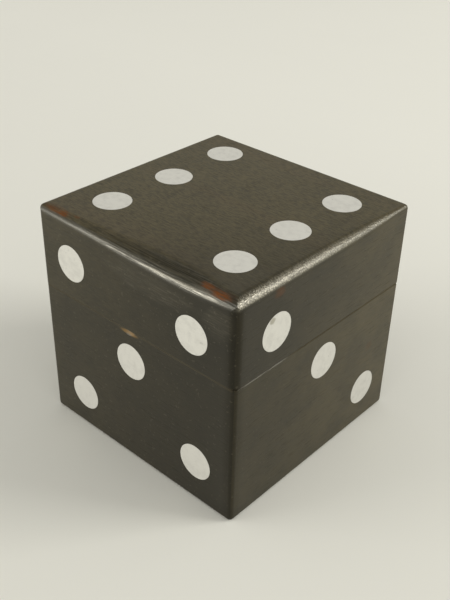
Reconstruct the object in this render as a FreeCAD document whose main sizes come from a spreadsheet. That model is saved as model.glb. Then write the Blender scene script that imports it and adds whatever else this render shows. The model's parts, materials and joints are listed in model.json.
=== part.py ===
"""A jack in the box made as a wooden playing die.

The die is a mitred box of thin boards, sawn apart at the seam into a lid and a base. Flush round pips are let
into every face. A thin lining stands up above the seam as the lip that the lid closes over. Two small butt hinges
lie in the back edge, where both halves are bevelled so that the lid stops a little past upright. Inside, a turned
figure sits on a follower that a coil spring pushes up from a seat on the floor.

Frame: millimetres, +Z up, +X to the right of the five-pip face, which looks towards -Y. The origin is the middle
of the underside.
"""
import FreeCAD, Part
import math
import os
import re

import Sketcher

DOCUMENT = FreeCAD.newDocument("die_jack_in_the_box")

# Driving dimensions, in millimetres and degrees, with what each one is.
SIZES = {
    "width": (80.0, "box, side to side"),
    "depth": (79.0, "box, front to back"),
    "height": (76.8, "box, underside to top"),
    "board": (7.0, "thickness of the boards"),
    "lid_edge": (1.4, "rounding of the lid's outer edges"),
    "front_edge": (2.8, "rounding of the lid's front edge at its least worn end, on the left"),
    "side_wear": (3.4, "rounding of the lid's right edge at its most worn end, by the front corner"),
    "corner_wear": (2.6, "rounding of the lid's worn upright edge at the front right corner"),
    "roll_reach": (6.6, "worn roll of the lid's front edge where it is widest, back over the top"),
    "roll_drop": (4.8, "the same roll, down the front"),
    "base_edge": (1.5, "rounding of the base's outer edges"),
    "seam_arris": (0.2, "chamfer on both sides of the seam"),
    "seam_margin": (4.6, "wood between the middle pips and the seam"),
    "pip_diameter": (12.0, "pip disc"),
    "pip_depth": (3.0, "pip disc thickness"),
    "pip_gap": (0.05, "glue line round a pip"),
    "pip_inset": (15.0, "corner pip centre from the edges of its face"),
    "nick_width": (5.7, "finger nick along the base's front edge"),
    "nick_depth": (0.7, "finger nick into the board at the seam"),
    "nick_height": (1.5, "finger nick below the seam"),
    "nick_shift": (-1.5, "finger nick from the middle of the front"),
    "lining_thickness": (2.0, "lining board"),
    "lip_height": (3.5, "lining above the seam"),
    "lip_gap": (0.3, "lip to the lid's inner faces"),
    "lip_lead": (0.6, "slope on the lip's upper edge"),
    "hinge_setback": (1.3, "hinge axis inside the back face"),
    "hinge_inset": (18.0, "hinge's middle from the end of the box"),
    "hinge_length": (18.0, "hinge along its pin"),
    "lid_knuckle": (8.6, "the lid's middle knuckle"),
    "bevel_angle": (56.0, "bevel of each back edge, from the seam"),
    "leaf_width": (5.3, "hinge leaf, from the axis inwards"),
    "leaf_thickness": (0.7, "hinge leaf"),
    "leaf_gap": (0.05, "each leaf from the seam"),
    "knuckle_diameter": (2.5, "hinge knuckle"),
    "knuckle_gap": (0.2, "between neighbouring knuckles"),
    "knuckle_relief": (0.25, "room round the knuckles in wood and leaf"),
    "pin_diameter": (1.0, "hinge pin"),
    "pin_clearance": (0.05, "pin to knuckle bore, on the radius"),
    "screw_head": (2.4, "screw head diameter"),
    "screw_shank": (1.2, "screw shank diameter"),
    "screw_length": (5.0, "screw in the wood"),
    "screw_spacing": (11.0, "between the two screws of a leaf"),
    "fit_gap": (0.05, "glued or driven fit, on the radius"),
    "seat_diameter": (44.0, "spring seat disc"),
    "seat_thickness": (2.5, "spring seat disc"),
    "spigot_height": (3.4, "spigots that the spring's end turns grip"),
    "spigot_gap": (0.15, "spigot to the spring's inside"),
    "spring_wire": (1.2, "spring wire diameter"),
    "spring_diameter": (34.0, "spring, middle of the wire"),
    "spring_turns": (5.0, "turns of the spring"),
    "spring_gap": (0.3, "spring's top to the follower"),
    "touch_gap": (0.05, "spring's foot to its seat"),
    "follower_diameter": (42.0, "disc on top of the spring"),
    "follower_thickness": (2.5, "disc on top of the spring"),
    "follower_edge": (0.8, "rounding of the follower's edges"),
    "dowel_diameter": (5.0, "dowel through the figure"),
    "dowel_grip": (7.0, "dowel inside the head"),
    "torso_height": (9.0, "torso from the follower to the ruff"),
    "torso_foot": (34.0, "torso at its foot"),
    "torso_neck": (15.0, "torso under the ruff"),
    "torso_skirt": (1.8, "upright edge round the torso's foot"),
    "torso_round": (0.7, "rounding of the torso's foot"),
    "ruff_height": (2.8, "ruff"),
    "ruff_diameter": (29.0, "ruff over its scallops"),
    "ruff_neck": (13.0, "ruff at its upper edge"),
    "ruff_rim": (1.0, "ruff's thickness at its edge"),
    "ruff_scallop": (6.4, "width of the hollows between the scallops"),
    "ruff_bite": (1.6, "depth of the hollows between the scallops"),
    "ruff_scallops": (12.0, "number of scallops"),
    "head_diameter": (22.0, "head ball"),
    "head_flat": (1.0, "flat under the head ball"),
    "nose_diameter": (4.6, "nose bead"),
    "nose_sink": (0.8, "nose bead let into the head"),
    "nose_peg": (2.0, "nose peg diameter"),
    "nose_peg_length": (6.1, "nose peg from the middle of the bead"),
    "nose_drop": (0.6, "nose below the middle of the head"),
    "cap_seat": (4.0, "cap's rim above the middle of the head"),
    "cap_wall": (1.3, "cap's wall over the head"),
    "cap_roll": (2.2, "thickness of the cap's rolled rim"),
    "cap_rise": (4.0, "cap's tip above the crown of the head"),
    "cap_tip": (1.9, "cap's radius at its tip"),
    "bead_diameter": (4.6, "bead on the cap's tip"),
    "bead_peg": (1.6, "bead's peg diameter"),
    "bead_peg_length": (2.3, "bead's peg inside the cap"),
    "headroom": (1.1, "bead to the lid's ceiling"),
}

# Places that several pieces share, as formulas of the sizes above.
SEAM = "(height / 2 + pip_diameter / 2 + seam_margin)"
HINGE_Y = "(depth / 2 - hinge_setback)"
KNUCKLE_POCKET = "(knuckle_diameter / 2 + knuckle_relief)"
SCREW_Y = f"({HINGE_Y} - (leaf_width + {KNUCKLE_POCKET}) / 2)"
BEAD_MIDDLE = "(height - board - headroom - bead_diameter / 2)"
CAP_TIP = f"({BEAD_MIDDLE} - sqrt(bead_diameter ^ 2 / 4 - bead_peg ^ 2 / 4))"
HEAD_MIDDLE = f"({CAP_TIP} - cap_rise - head_diameter / 2)"
CAP_RIM = f"({HEAD_MIDDLE} + cap_seat)"
HEAD_FOOT = f"({HEAD_MIDDLE} - head_diameter / 2 + head_flat)"
RUFF_FOOT = f"({HEAD_FOOT} - ruff_height)"
TORSO_FOOT = f"({RUFF_FOOT} - torso_height)"
FOLLOWER_FOOT = f"({TORSO_FOOT} - follower_thickness)"
DOWEL_TOP = f"({HEAD_FOOT} + dowel_grip)"
DOWEL_BORE = "(dowel_diameter / 2 + fit_gap)"
SEAT_TOP = "(board + seat_thickness)"
SPIGOT = "(spring_diameter / 2 - spring_wire / 2 - spigot_gap)"

# The spring's wire is drawn from numbers, so the sheet works these two places out.
SPRING_PLACES = {
    "spring_foot": (f"={SEAT_TOP} + touch_gap + spring_wire / 2", "middle of the wire on the seat"),
    "spring_head": (f"={FOLLOWER_FOOT} - spring_gap - spring_wire / 2", "middle of the wire under the follower"),
}

# A turn of the spring is drawn as so many pairs of arcs.
SPANS_PER_TURN = 4

ALONG_X = (FreeCAD.Vector(0, 1, 0), 90)
UPSIDE_DOWN = (FreeCAD.Vector(1, 0, 0), 180)
UPRIGHT = FreeCAD.Vector(0, 0, 1)

# Lengths that differ by less than this count as the same.
SAME = 1e-6

# A sketch's points start on this ring, before its constraints take them to their places.
START_MIDDLE = 20
START_RADIUS = 10

NODES = []


def fill_sheet():
    """Write the driving dimensions and the spring's places into the document's spreadsheet, one row each."""
    sheet = DOCUMENT.addObject("Spreadsheet::Sheet", "Sizes")
    for row, (alias, (value, meaning)) in enumerate((SIZES | SPRING_PLACES).items(), start=1):
        sheet.set(f"A{row}", meaning)
        sheet.set(f"B{row}", str(value))
        sheet.setAlias(f"B{row}", alias)
    DOCUMENT.recompute()
    return sheet


SHEET = fill_sheet()


def size(alias):
    """The value of one cell of the spreadsheet."""
    return float(SHEET.get(alias))


def formula(text):
    """An expression of the document, from a formula written with the sizes' own names."""
    return re.sub(r"[a-z_]+", lambda word: f"Sizes.{word[0]}" if word[0] in SIZES else word[0], text)


def bind(piece, sizes):
    for name, text in sizes.items():
        piece.setExpression(name, formula(text))


def put(piece, at, turn=None):
    """Place a piece by three formulas, turned about an axis through its own origin."""
    if turn:
        piece.Placement = FreeCAD.Placement(FreeCAD.Vector(), FreeCAD.Rotation(*turn))
    bind(piece, dict(zip(("Placement.Base.x", "Placement.Base.y", "Placement.Base.z"), at)))
    return piece


def box(name, across, along, up):
    """A box from three pairs of formulas, its low and high side on each axis."""
    piece = DOCUMENT.addObject("Part::Box", name)
    for side, (low, high) in zip(("Length", "Width", "Height"), (across, along, up)):
        bind(piece, {side: f"({high}) - ({low})"})
    return put(piece, [low for low, high in (across, along, up)])


def rod(name, radius, length, at, turn=None):
    piece = DOCUMENT.addObject("Part::Cylinder", name)
    bind(piece, {"Radius": radius, "Height": length})
    return put(piece, at, turn)


def cone(name, low_radius, high_radius, length, at, turn=None):
    piece = DOCUMENT.addObject("Part::Cone", name)
    bind(piece, {"Radius1": low_radius, "Radius2": high_radius, "Height": length})
    return put(piece, at, turn)


def ball(name, radius, at):
    piece = DOCUMENT.addObject("Part::Sphere", name)
    bind(piece, {"Radius": radius})
    return put(piece, at)


def fuse(name, pieces):
    piece = DOCUMENT.addObject("Part::MultiFuse", name)
    piece.Shapes = pieces
    return piece


def cut(name, base, tools):
    piece = DOCUMENT.addObject("Part::Cut", name)
    piece.Base = base
    piece.Tool = tools[0] if len(tools) == 1 else fuse(f"{name}_cuts", tools)
    return piece


def common(name, base, tool):
    piece = DOCUMENT.addObject("Part::Common", name)
    piece.Base = base
    piece.Tool = tool
    return piece


def group(name, pieces):
    piece = DOCUMENT.addObject("Part::Compound", name)
    piece.Links = pieces
    return piece


def node(piece, label=None):
    """Name a finished piece and put it on the list of pieces to write."""
    piece.Label = label or piece.Name
    NODES.append(piece)
    return piece


def new_body(name):
    return DOCUMENT.addObject("PartDesign::Body", name)


def new_sketch(body, name, role, offset="0"):
    """A sketch on one of the body's own origin planes, moved along its normal by a formula."""
    sketch = body.newObject("Sketcher::SketchObject", name)
    plane = next(item for item in body.Origin.OriginFeatures if item.Role == role)
    sketch.AttachmentSupport = [(plane, "")]
    sketch.MapMode = "FlatFace"
    bind(sketch, {"AttachmentOffset.Base.z": offset})
    return sketch


def draw_outline(sketch, points):
    """A closed outline of straight lines through points that are each given by two formulas."""
    count = len(points)
    middle = FreeCAD.Vector(START_MIDDLE, START_MIDDLE, 0)
    turns = [math.tau * i / count for i in range(count)]
    start = [middle + FreeCAD.Vector(math.cos(turn), math.sin(turn), 0) * START_RADIUS for turn in turns]
    for i in range(count):
        sketch.addGeometry(Part.LineSegment(start[i], start[(i + 1) % count]))
    for i in range(count):
        sketch.addConstraint(Sketcher.Constraint("Coincident", i, 2, (i + 1) % count, 1))
    for i, (across, up) in enumerate(points):
        for kind, text, axis in (("DistanceX", across, -2), ("DistanceY", up, -1)):
            if text == "0":
                sketch.addConstraint(Sketcher.Constraint("PointOnObject", i, 1, axis))
                continue
            value = start[i].x if kind == "DistanceX" else start[i].y
            index = sketch.addConstraint(Sketcher.Constraint(kind, -1, 1, i, 1, value))
            sketch.setExpression(f"Constraints[{index}]", formula(text))


def pad(body, sketch, name, length):
    feature = body.newObject("PartDesign::Pad", name)
    feature.Profile = sketch
    bind(feature, {"Length": length})
    return feature


def turned_body(name, points):
    """A body turned about the vertical axis from an outline of radius and height formulas."""
    body = new_body(name)
    sketch = new_sketch(body, f"{name}_outline", "XZ_Plane")
    draw_outline(sketch, points)
    feature = body.newObject("PartDesign::Revolution", f"{name}_turned")
    feature.Profile = sketch
    feature.ReferenceAxis = (sketch, ["V_Axis"])
    feature.Angle = 360
    DOCUMENT.recompute()
    return body, feature


def dress(body, kind, feature, name, edges, amount):
    """Round or chamfer those edges of a feature that a test picks out."""
    DOCUMENT.recompute()
    names = [f"Edge{i}" for i, edge in enumerate(feature.Shape.Edges, start=1) if edges(edge)]
    if not names:
        raise RuntimeError(f"{name} found no edge")
    dressed = body.newObject(f"PartDesign::{kind}", name)
    dressed.Base = (feature, names)
    bind(dressed, {"Radius" if kind == "Fillet" else "Size": amount})
    DOCUMENT.recompute()
    return dressed


def level(height):
    """A test for edges that lie at one height."""
    def lies_there(edge):
        return abs(edge.BoundBox.ZMin - height) < SAME and abs(edge.BoundBox.ZMax - height) < SAME
    return lies_there


def upright(edge):
    return edge.BoundBox.ZLength > SAME and edge.BoundBox.XLength + edge.BoundBox.YLength < SAME


def as_wide_as(alias):
    """A test for round edges of a turned piece that are as wide as one of the sizes."""
    def is_that_wide(edge):
        return edge.BoundBox.XLength > size(alias) - SAME
    return is_that_wide


def die_half(name, low, high, outer_end, seam_end, edge):
    """One solid half of the die: rounded outside edges, a fine chamfer at the seam and the bevel at the hinge."""
    body = new_body(f"{name}_block")
    sketch = new_sketch(body, f"{name}_plan", "XY_Plane", low)
    left, right = "-width / 2", "width / 2"
    front, back = "-depth / 2", "depth / 2"
    draw_outline(sketch, [(left, front), (right, front), (right, back), (left, back)])
    block = pad(body, sketch, f"{name}_pad", f"({high}) - ({low})")
    DOCUMENT.recompute()
    ends = block.Shape.BoundBox
    outer = ends.ZMax if outer_end == "top" else ends.ZMin
    seam = ends.ZMin if seam_end == "bottom" else ends.ZMax
    on_outer = level(outer)
    rounded = dress(body, "Fillet", block, f"{name}_edges", lambda e: upright(e) or on_outer(e), edge)
    dress(body, "Chamfer", rounded, f"{name}_arris", level(seam), "seam_arris")
    return body


def bevelled(name, block, turn_sign):
    """Bevel the back edge from the hinge axis outwards, so that the open lid comes to rest on the base."""
    wedge = DOCUMENT.addObject("Part::Box", f"{name}_bevel")
    bind(wedge, {"Length": "width + 2 * board", "Width": "board", "Height": "board"})
    if turn_sign > 0:
        # The lid's tool hangs below its own origin, so its upper face becomes the bevel.
        offset_y, offset_z = "board * sin(bevel_angle * 1 deg)", "-board * cos(bevel_angle * 1 deg)"
    else:
        offset_y, offset_z = "0", "0"
    wedge.Placement = FreeCAD.Placement(FreeCAD.Vector(), FreeCAD.Rotation(FreeCAD.Vector(1, 0, 0), 1))
    bind(wedge, {"Placement.Rotation.Angle": f"{turn_sign} * bevel_angle * 1 deg"})
    put(wedge, ("-width / 2 - board", f"{HINGE_Y} + {offset_y}", f"{SEAM} + {offset_z}"))
    return cut(f"{name}_half", block, [wedge])


# Each worn edge of the lid is drawn through so many sections from end to end.
WEAR_SECTIONS = 17

# Where along the front edge it is worn the most, and by how much the right edge ends inside the plain rounding.
WORST_WORN = 0.745
WEAR_END = 0.3


def wear_share(along):
    """How much of the greatest wear the front edge has at a share of its length."""
    rise = along / WORST_WORN if along < WORST_WORN else (1 - along) / (1 - WORST_WORN)
    return rise ** 2 * (3 - 2 * rise)


def wear_section(edge, inward, down, reach, drop):
    """The waste at one place of a worn edge: what lies outside a quarter ellipse from face to face."""
    outside = size("board")
    low, high = edge + down * drop, edge + inward * reach
    arc = Part.BezierCurve()
    arc.setPoles([low, edge, high])
    arc.setWeight(2, math.sqrt(0.5))
    points = [high, high - down * outside, edge - (inward + down) * outside, low - inward * outside, low]
    lines = [Part.LineSegment(start, end).toShape() for start, end in zip(points, points[1:])]
    return Part.Wire([arc.toShape(), *lines])


def worn(lid):
    """Wear three edges of the lid: a swelling roll in front, and the right and upright edges towards the corner."""
    plain, corner, outside = size("lid_edge"), size("side_wear"), size("board")
    right, front, top = size("width") / 2, -size("depth") / 2, size("height")
    to_left, to_back = FreeCAD.Vector(-1, 0, 0), FreeCAD.Vector(0, 1, 0)
    down = FreeCAD.Vector(0, 0, -1)
    rolls = {"front_roll": [], "right_roll": []}
    for i in range(WEAR_SECTIONS):
        along = i / (WEAR_SECTIONS - 1)
        share = wear_share(along)
        end = size("front_edge") if along < WORST_WORN else corner
        reach = end + share * (size("roll_reach") - end)
        drop = end + share * (size("roll_drop") - end)
        edge = FreeCAD.Vector((2 * along - 1) * (right + plain), front, top)
        rolls["front_roll"].append(wear_section(edge, to_back, down, reach, drop))
        radius = corner + along ** 4 * (plain - WEAR_END - corner)
        edge = FreeCAD.Vector(right, front - plain + along * size("depth"), top)
        rolls["right_roll"].append(wear_section(edge, to_left, down, radius, radius))
    radius = size("corner_wear")
    ends = [FreeCAD.Vector(right, front, z) for z in (0, top + outside)]
    rolls["corner_roll"] = [wear_section(end, to_left, to_back, radius, radius) for end in ends]
    wastes = []
    for name, sections in rolls.items():
        waste = DOCUMENT.addObject("Part::Feature", name)
        waste.Shape = Part.makeLoft(sections, True, True)
        wastes.append(waste)
    return cut("lid_worn", lid, wastes)


def board_wedge(name, outer_face, across, along, turn):
    """The space of one mitred board: full size on its outer face and a board's thickness less inside.

    The wedge lies along +Y from its outer face. across and along hold the low and high side on X and Z,
    each with the inset that its mitre takes, which is 0 where the board ends square.
    """
    wedge = DOCUMENT.addObject("Part::Wedge", f"{name}_wedge")
    (x_low, x_low_in), (x_high, x_high_in) = across
    (z_low, z_low_in), (z_high, z_high_in) = along
    bind(wedge, {
        "Ymin": outer_face, "Ymax": f"{outer_face} + board",
        "Xmin": x_low, "X2min": f"{x_low} + {x_low_in}", "Xmax": x_high, "X2max": f"{x_high} - {x_high_in}",
        "Zmin": z_low, "Z2min": f"{z_low} + {z_low_in}", "Zmax": z_high, "Z2max": f"{z_high} - {z_high_in}",
    })
    return put(wedge, ("0", "0", "0"), turn)


# Each side face: its turn about Z from the front, the size from the middle to the face, and its own half width.
SIDES = {
    "front": (0, "depth / 2", "width / 2"),
    "right": (90, "width / 2", "depth / 2"),
    "back": (180, "depth / 2", "width / 2"),
    "left": (-90, "width / 2", "depth / 2"),
}


def side_board(half, name, side, low, high):
    angle, reach, half_width = SIDES[side]
    across = ((f"-{half_width}", "board"), (f"{half_width}", "board"))
    wedge = board_wedge(name, f"-{reach}", across, (low, high), (UPRIGHT, angle))
    return common(f"{name}_blank", half, wedge)


def flat_board(half, name, outer_face, turn_angle):
    across = (("-width / 2", "board"), ("width / 2", "board"))
    along = (("-depth / 2", "board"), ("depth / 2", "board"))
    wedge = board_wedge(name, outer_face, across, along, (FreeCAD.Vector(1, 0, 0), turn_angle))
    return common(f"{name}_blank", half, wedge)


# The pips of each face: which half holds it, then column, row and how far the hand-drilled hole stands off its grid.
PIPS = {
    "top": [
        ("lid", -1, 1, -0.7, 3.3), ("lid", -1, 0, 0.1, 2.7), ("lid", -1, -1, -0.6, 1.8),
        ("lid", 1, 1, -0.1, 0.6), ("lid", 1, 0, -0.3, 0.5), ("lid", 1, -1, 0.2, 0.7),
    ],
    "front": [
        ("lid", -1, 1, -1.4, -0.4), ("lid", 1, 1, -1.1, -2.0), ("base", 0, 0, -1.1, -0.4),
        ("base", -1, -1, 0.8, -1.4), ("base", 1, -1, 0.5, 0.1),
    ],
    "right": [("lid", -1, 1, 1.7, -1.3), ("base", 0, 0, 1.0, -0.2), ("base", 1, -1, 0.6, -0.7)],
    "back": [("lid", 1, 1, 0.0, 0.0), ("base", -1, -1, 0.0, 0.0)],
    "left": [
        ("lid", -1, 1, 0.0, 0.0), ("lid", 1, 1, 0.0, 0.0), ("base", -1, -1, 0.0, 0.0), ("base", 1, -1, 0.0, 0.0),
    ],
    "bottom": [("base", 0, 0, 0.0, 0.0)],
}

# The way into the wood from each face, as a turn of the +Z axis.
INWARDS = {
    "top": UPSIDE_DOWN,
    "front": (FreeCAD.Vector(1, 0, 0), -90),
    "right": (FreeCAD.Vector(0, 1, 0), -90),
    "back": (FreeCAD.Vector(1, 0, 0), 90),
    "left": (FreeCAD.Vector(0, 1, 0), 90),
    "bottom": (UPRIGHT, 0),
}


def pip_place(face, column, row, drift_across, drift_up):
    """Where the middle of a pip lies on its face, as three formulas."""
    across_x = f"{column} * (width / 2 - pip_inset) + {drift_across}"
    across_y = f"{column} * (depth / 2 - pip_inset) + {drift_across}"
    up = f"height / 2 + {row} * (height / 2 - pip_inset) + {drift_up}"
    return {
        "top": (across_x, f"{row} * (depth / 2 - pip_inset) + {drift_up}", "height"),
        "front": (across_x, "-depth / 2", up),
        "right": ("width / 2", across_y, up),
        "back": (across_x, "depth / 2", up),
        "left": ("-width / 2", across_y, up),
        "bottom": (across_x, across_y, "0"),
    }[face]


def make_pips():
    """The pips, each its own disc, and for each half and face the holes that take them."""
    holes = {}
    for face, pips in PIPS.items():
        for number, (half, *place) in enumerate(pips, start=1):
            at = pip_place(face, *place)
            node(rod(f"pip_{face}_{number}", "pip_diameter / 2", "pip_depth", at, INWARDS[face]))
            hole = rod(f"hole_{face}_{number}", "pip_diameter / 2 + pip_gap", "pip_depth", at, INWARDS[face])
            holes.setdefault((half, face), []).append(hole)
    return holes


def screw(name, x, up, grow):
    """A countersunk screw that stands in a leaf at the hinge, or its hole where grow is a clearance."""
    foot = f"{SEAM} + {up} * leaf_gap"
    turn = None if up > 0 else UPSIDE_DOWN
    head = cone(f"{name}_head", f"screw_head / 2 + {grow}", f"screw_shank / 2 + {grow}", "leaf_thickness",
                (x, SCREW_Y, foot), turn)
    shank = rod(f"{name}_shank", f"screw_shank / 2 + {grow}", f"leaf_thickness + screw_length + {grow}",
                (x, SCREW_Y, foot), turn)
    return fuse(name, [head, shank])


def hinge_leaf(name, x, up, knuckles):
    """One leaf: a plate, a tab to each of its knuckles, the knuckles, the pin's bore and the screw holes."""
    inner, outer = f"{SEAM} + {up} * leaf_gap", f"{SEAM} + {up} * (leaf_gap + leaf_thickness)"
    rise = (inner, outer) if up > 0 else (outer, inner)
    plate_edge = f"{HINGE_Y} - {KNUCKLE_POCKET}"
    pieces = [box(f"{name}_plate", (f"{x} - hinge_length / 2", f"{x} + hinge_length / 2"),
                  (f"{HINGE_Y} - leaf_width", plate_edge), rise)]
    for number, (low, high) in enumerate(knuckles, start=1):
        pieces.append(box(f"{name}_tab_{number}", (low, high), (f"{HINGE_Y} - leaf_width", HINGE_Y), rise))
        pieces.append(rod(f"{name}_knuckle_{number}", "knuckle_diameter / 2", f"({high}) - ({low})",
                          (low, HINGE_Y, SEAM), ALONG_X))
    bore = rod(f"{name}_bore", "pin_diameter / 2 + pin_clearance", "hinge_length * 2",
               (f"{x} - hinge_length", HINGE_Y, SEAM), ALONG_X)
    holes = [screw(f"{name}_hole_{number}", f"{x} + {side} * screw_spacing / 2", up, "fit_gap")
             for number, side in enumerate((-1, 1), start=1)]
    node(cut(name, fuse(f"{name}_blank", pieces), [bore] + holes))


def leaf_mortise(name, x, up):
    """What the back board loses to one hinge: the leaf's bed, the knuckles' pocket and two screw holes."""
    deep = f"{SEAM} + {up} * (leaf_gap + leaf_thickness)"
    past = f"{SEAM} - {up} * board"
    rise = (past, deep) if up > 0 else (deep, past)
    ends = (f"{x} - hinge_length / 2 - fit_gap", f"{x} + hinge_length / 2 + fit_gap")
    bed = box(f"{name}_bed", ends, (f"{HINGE_Y} - leaf_width - fit_gap", f"{HINGE_Y} + board"), rise)
    pocket = rod(f"{name}_pocket", KNUCKLE_POCKET, "hinge_length + 2 * fit_gap", (ends[0], HINGE_Y, SEAM), ALONG_X)
    pilots = [screw(f"{name}_pilot_{number}", f"{x} + {side} * screw_spacing / 2", up, "fit_gap")
              for number, side in enumerate((-1, 1), start=1)]
    return [bed, pocket] + pilots


def make_hinges():
    """Both hinges with their pins and screws, and for each half what its back board loses to them."""
    mortises = {"lid": [], "base": []}
    screws = {"lid": [], "base": []}
    for side_name, side in (("left", -1), ("right", 1)):
        x = f"{side} * (width / 2 - hinge_inset)"
        first, last = f"{x} - hinge_length / 2", f"{x} + hinge_length / 2"
        low, high = f"{x} - lid_knuckle / 2", f"{x} + lid_knuckle / 2"
        knuckles = {
            "base": [(first, f"{low} - knuckle_gap"), (f"{high} + knuckle_gap", last)],
            "lid": [(low, high)],
        }
        node(rod(f"hinge_pin_{side_name}", "pin_diameter / 2", "hinge_length", (first, HINGE_Y, SEAM), ALONG_X))
        for half, up in (("lid", 1), ("base", -1)):
            hinge_leaf(f"{half}_hinge_leaf_{side_name}", x, up, knuckles[half])
            mortises[half] += leaf_mortise(f"{half}_mortise_{side_name}", x, up)
            for number, across in enumerate((-1, 1), start=1):
                name = f"{half}_screw_{side_name}_{number}"
                screws[half].append(screw(name, f"{x} + {across} * screw_spacing / 2", up, "0"))
    for half in ("lid", "base"):
        node(group(f"{half}_hinge_screws", screws[half]))
    return mortises


def finger_nick():
    """A sloping half-moon nick in the base's front edge, where a fingernail gets under the lid."""
    radius = "(nick_width ^ 2 / 4 + nick_depth ^ 2) / (2 * nick_depth)"
    return cone("finger_nick", f"{radius} - nick_depth", f"{radius} + nick_depth", "2 * nick_height",
                ("nick_shift", f"-depth / 2 + nick_depth - {radius}", f"{SEAM} - nick_height"))


def make_shell(holes, mortises):
    """The ten boards of the die."""
    lid = worn(bevelled("lid", die_half("lid", SEAM, "height", "top", "bottom", "lid_edge"), 1))
    base = bevelled("base", die_half("base", "0", SEAM, "bottom", "top", "base_edge"), -1)
    lid_rise = ((SEAM, "0"), ("height", "board"))
    base_rise = (("0", "board"), (SEAM, "0"))
    extra = {
        ("base", "front"): [finger_nick()],
        ("lid", "back"): mortises["lid"],
        ("base", "back"): mortises["base"],
    }
    blanks = {
        ("lid", "top"): flat_board(lid, "lid_top", "-height", -90),
        ("base", "bottom"): flat_board(base, "base_bottom", "0", 90),
    }
    for side in SIDES:
        blanks["lid", side] = side_board(lid, f"lid_{side}", side, *lid_rise)
        blanks["base", side] = side_board(base, f"base_{side}", side, *base_rise)
    for (half, face), blank in blanks.items():
        node(cut(f"{half}_{face}", blank, holes.get((half, face), []) + extra.get((half, face), [])))


def lining_board(side, half_length):
    """A lining board, drawn in section: flat against its wall, set back above the seam, with a sloping upper edge."""
    angle, reach, _ = SIDES[side]
    wall = f"(-{reach} + board)"
    inner = f"{wall} + lining_thickness"
    top = f"{SEAM} + lip_height"
    body = new_body(f"lining_{side}")
    sketch = new_sketch(body, f"lining_{side}_section", "YZ_Plane", f"-{half_length}")
    draw_outline(sketch, [
        (wall, "board"), (inner, "board"), (inner, top), (f"{wall} + lip_gap + lip_lead", top),
        (f"{wall} + lip_gap", f"{top} - 2 * lip_lead"), (f"{wall} + lip_gap", SEAM), (wall, SEAM),
    ])
    pad(body, sketch, f"lining_{side}_length", f"2 * {half_length}")
    body.Placement = FreeCAD.Placement(FreeCAD.Vector(), FreeCAD.Rotation(UPRIGHT, angle))
    node(body)


def make_lining():
    for side in SIDES:
        long_side = side in ("front", "back")
        lining_board(side, "(width / 2 - board)" if long_side else "(depth / 2 - board - lining_thickness)")


def make_spring_seats():
    """The seat on the floor and the follower on top of the spring, each turned with a spigot for the end turns."""
    seat, _ = turned_body("spring_seat", [
        ("0", "board"), ("seat_diameter / 2", "board"), ("seat_diameter / 2", SEAT_TOP), (SPIGOT, SEAT_TOP),
        (SPIGOT, f"{SEAT_TOP} + spigot_height"), ("0", f"{SEAT_TOP} + spigot_height"),
    ])
    node(seat)
    follower, disc = turned_body("follower", [
        ("0", f"{FOLLOWER_FOOT} - spigot_height"), (SPIGOT, f"{FOLLOWER_FOOT} - spigot_height"),
        (SPIGOT, FOLLOWER_FOOT), ("follower_diameter / 2", FOLLOWER_FOOT), ("follower_diameter / 2", TORSO_FOOT),
        (DOWEL_BORE, TORSO_FOOT), (DOWEL_BORE, FOLLOWER_FOOT), ("0", FOLLOWER_FOOT),
    ])
    dress(follower, "Fillet", disc, "follower_rounded", as_wide_as("follower_diameter"), "follower_edge")
    node(follower)


class SpringLine:
    """The middle line of the spring's wire, pressed into the room between its seat and the follower."""

    def __init__(self):
        self.wire = size("spring_wire")
        self.radius = size("spring_diameter") / 2
        self.turns = size("spring_turns")
        self.foot = size("spring_foot")
        self.pitch = (size("spring_head") - self.foot) / self.turns

    def at(self, turn):
        """The line's point after so many turns, and its direction there."""
        angle = math.tau * turn
        across, along = math.cos(angle), math.sin(angle)
        point = FreeCAD.Vector(self.radius * across, self.radius * along, self.foot + self.pitch * turn)
        way = FreeCAD.Vector(-self.radius * along, self.radius * across, self.pitch / math.tau)
        return point, way.normalize()

    def self_gap(self, per_turn=48):
        """The least gap between stretches of the wire that lie more than half a turn apart."""
        points = [self.at(i / per_turn)[0] for i in range(int(self.turns * per_turn) + 1)]
        pairs = ((a, b) for i, a in enumerate(points) for b in points[i + per_turn // 2:])
        return min((b - a).Length for a, b in pairs) - self.wire


def arc_from(start, corner, end):
    """The arc from start to end that touches both legs of the corner between them."""
    middle = (start + end) / 2
    to_corner = corner - middle
    half_chord = (end - start).Length / 2
    leg = (corner - start).Length
    bulge = half_chord * (leg - half_chord) / to_corner.Length
    return Part.Arc(start, middle + to_corner.normalize() * bulge, end).toShape()


def biarc(start, start_way, end, end_way):
    """Two arcs that leave start along its direction, arrive at end along its own and meet smoothly."""
    span = end - start
    both = start_way + end_way
    square = 2 * (start_way.dot(end_way) - 1)
    linear = -2 * span.dot(both)
    leg = (-linear - math.sqrt(linear ** 2 - 4 * square * span.dot(span))) / (2 * square)
    if leg < 0:
        leg = (-linear + math.sqrt(linear ** 2 - 4 * square * span.dot(span))) / (2 * square)
    first_corner = start + start_way * leg
    last_corner = end - end_way * leg
    joint = (first_corner + last_corner) / 2
    return [arc_from(start, first_corner, joint), arc_from(joint, last_corner, end)]


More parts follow.
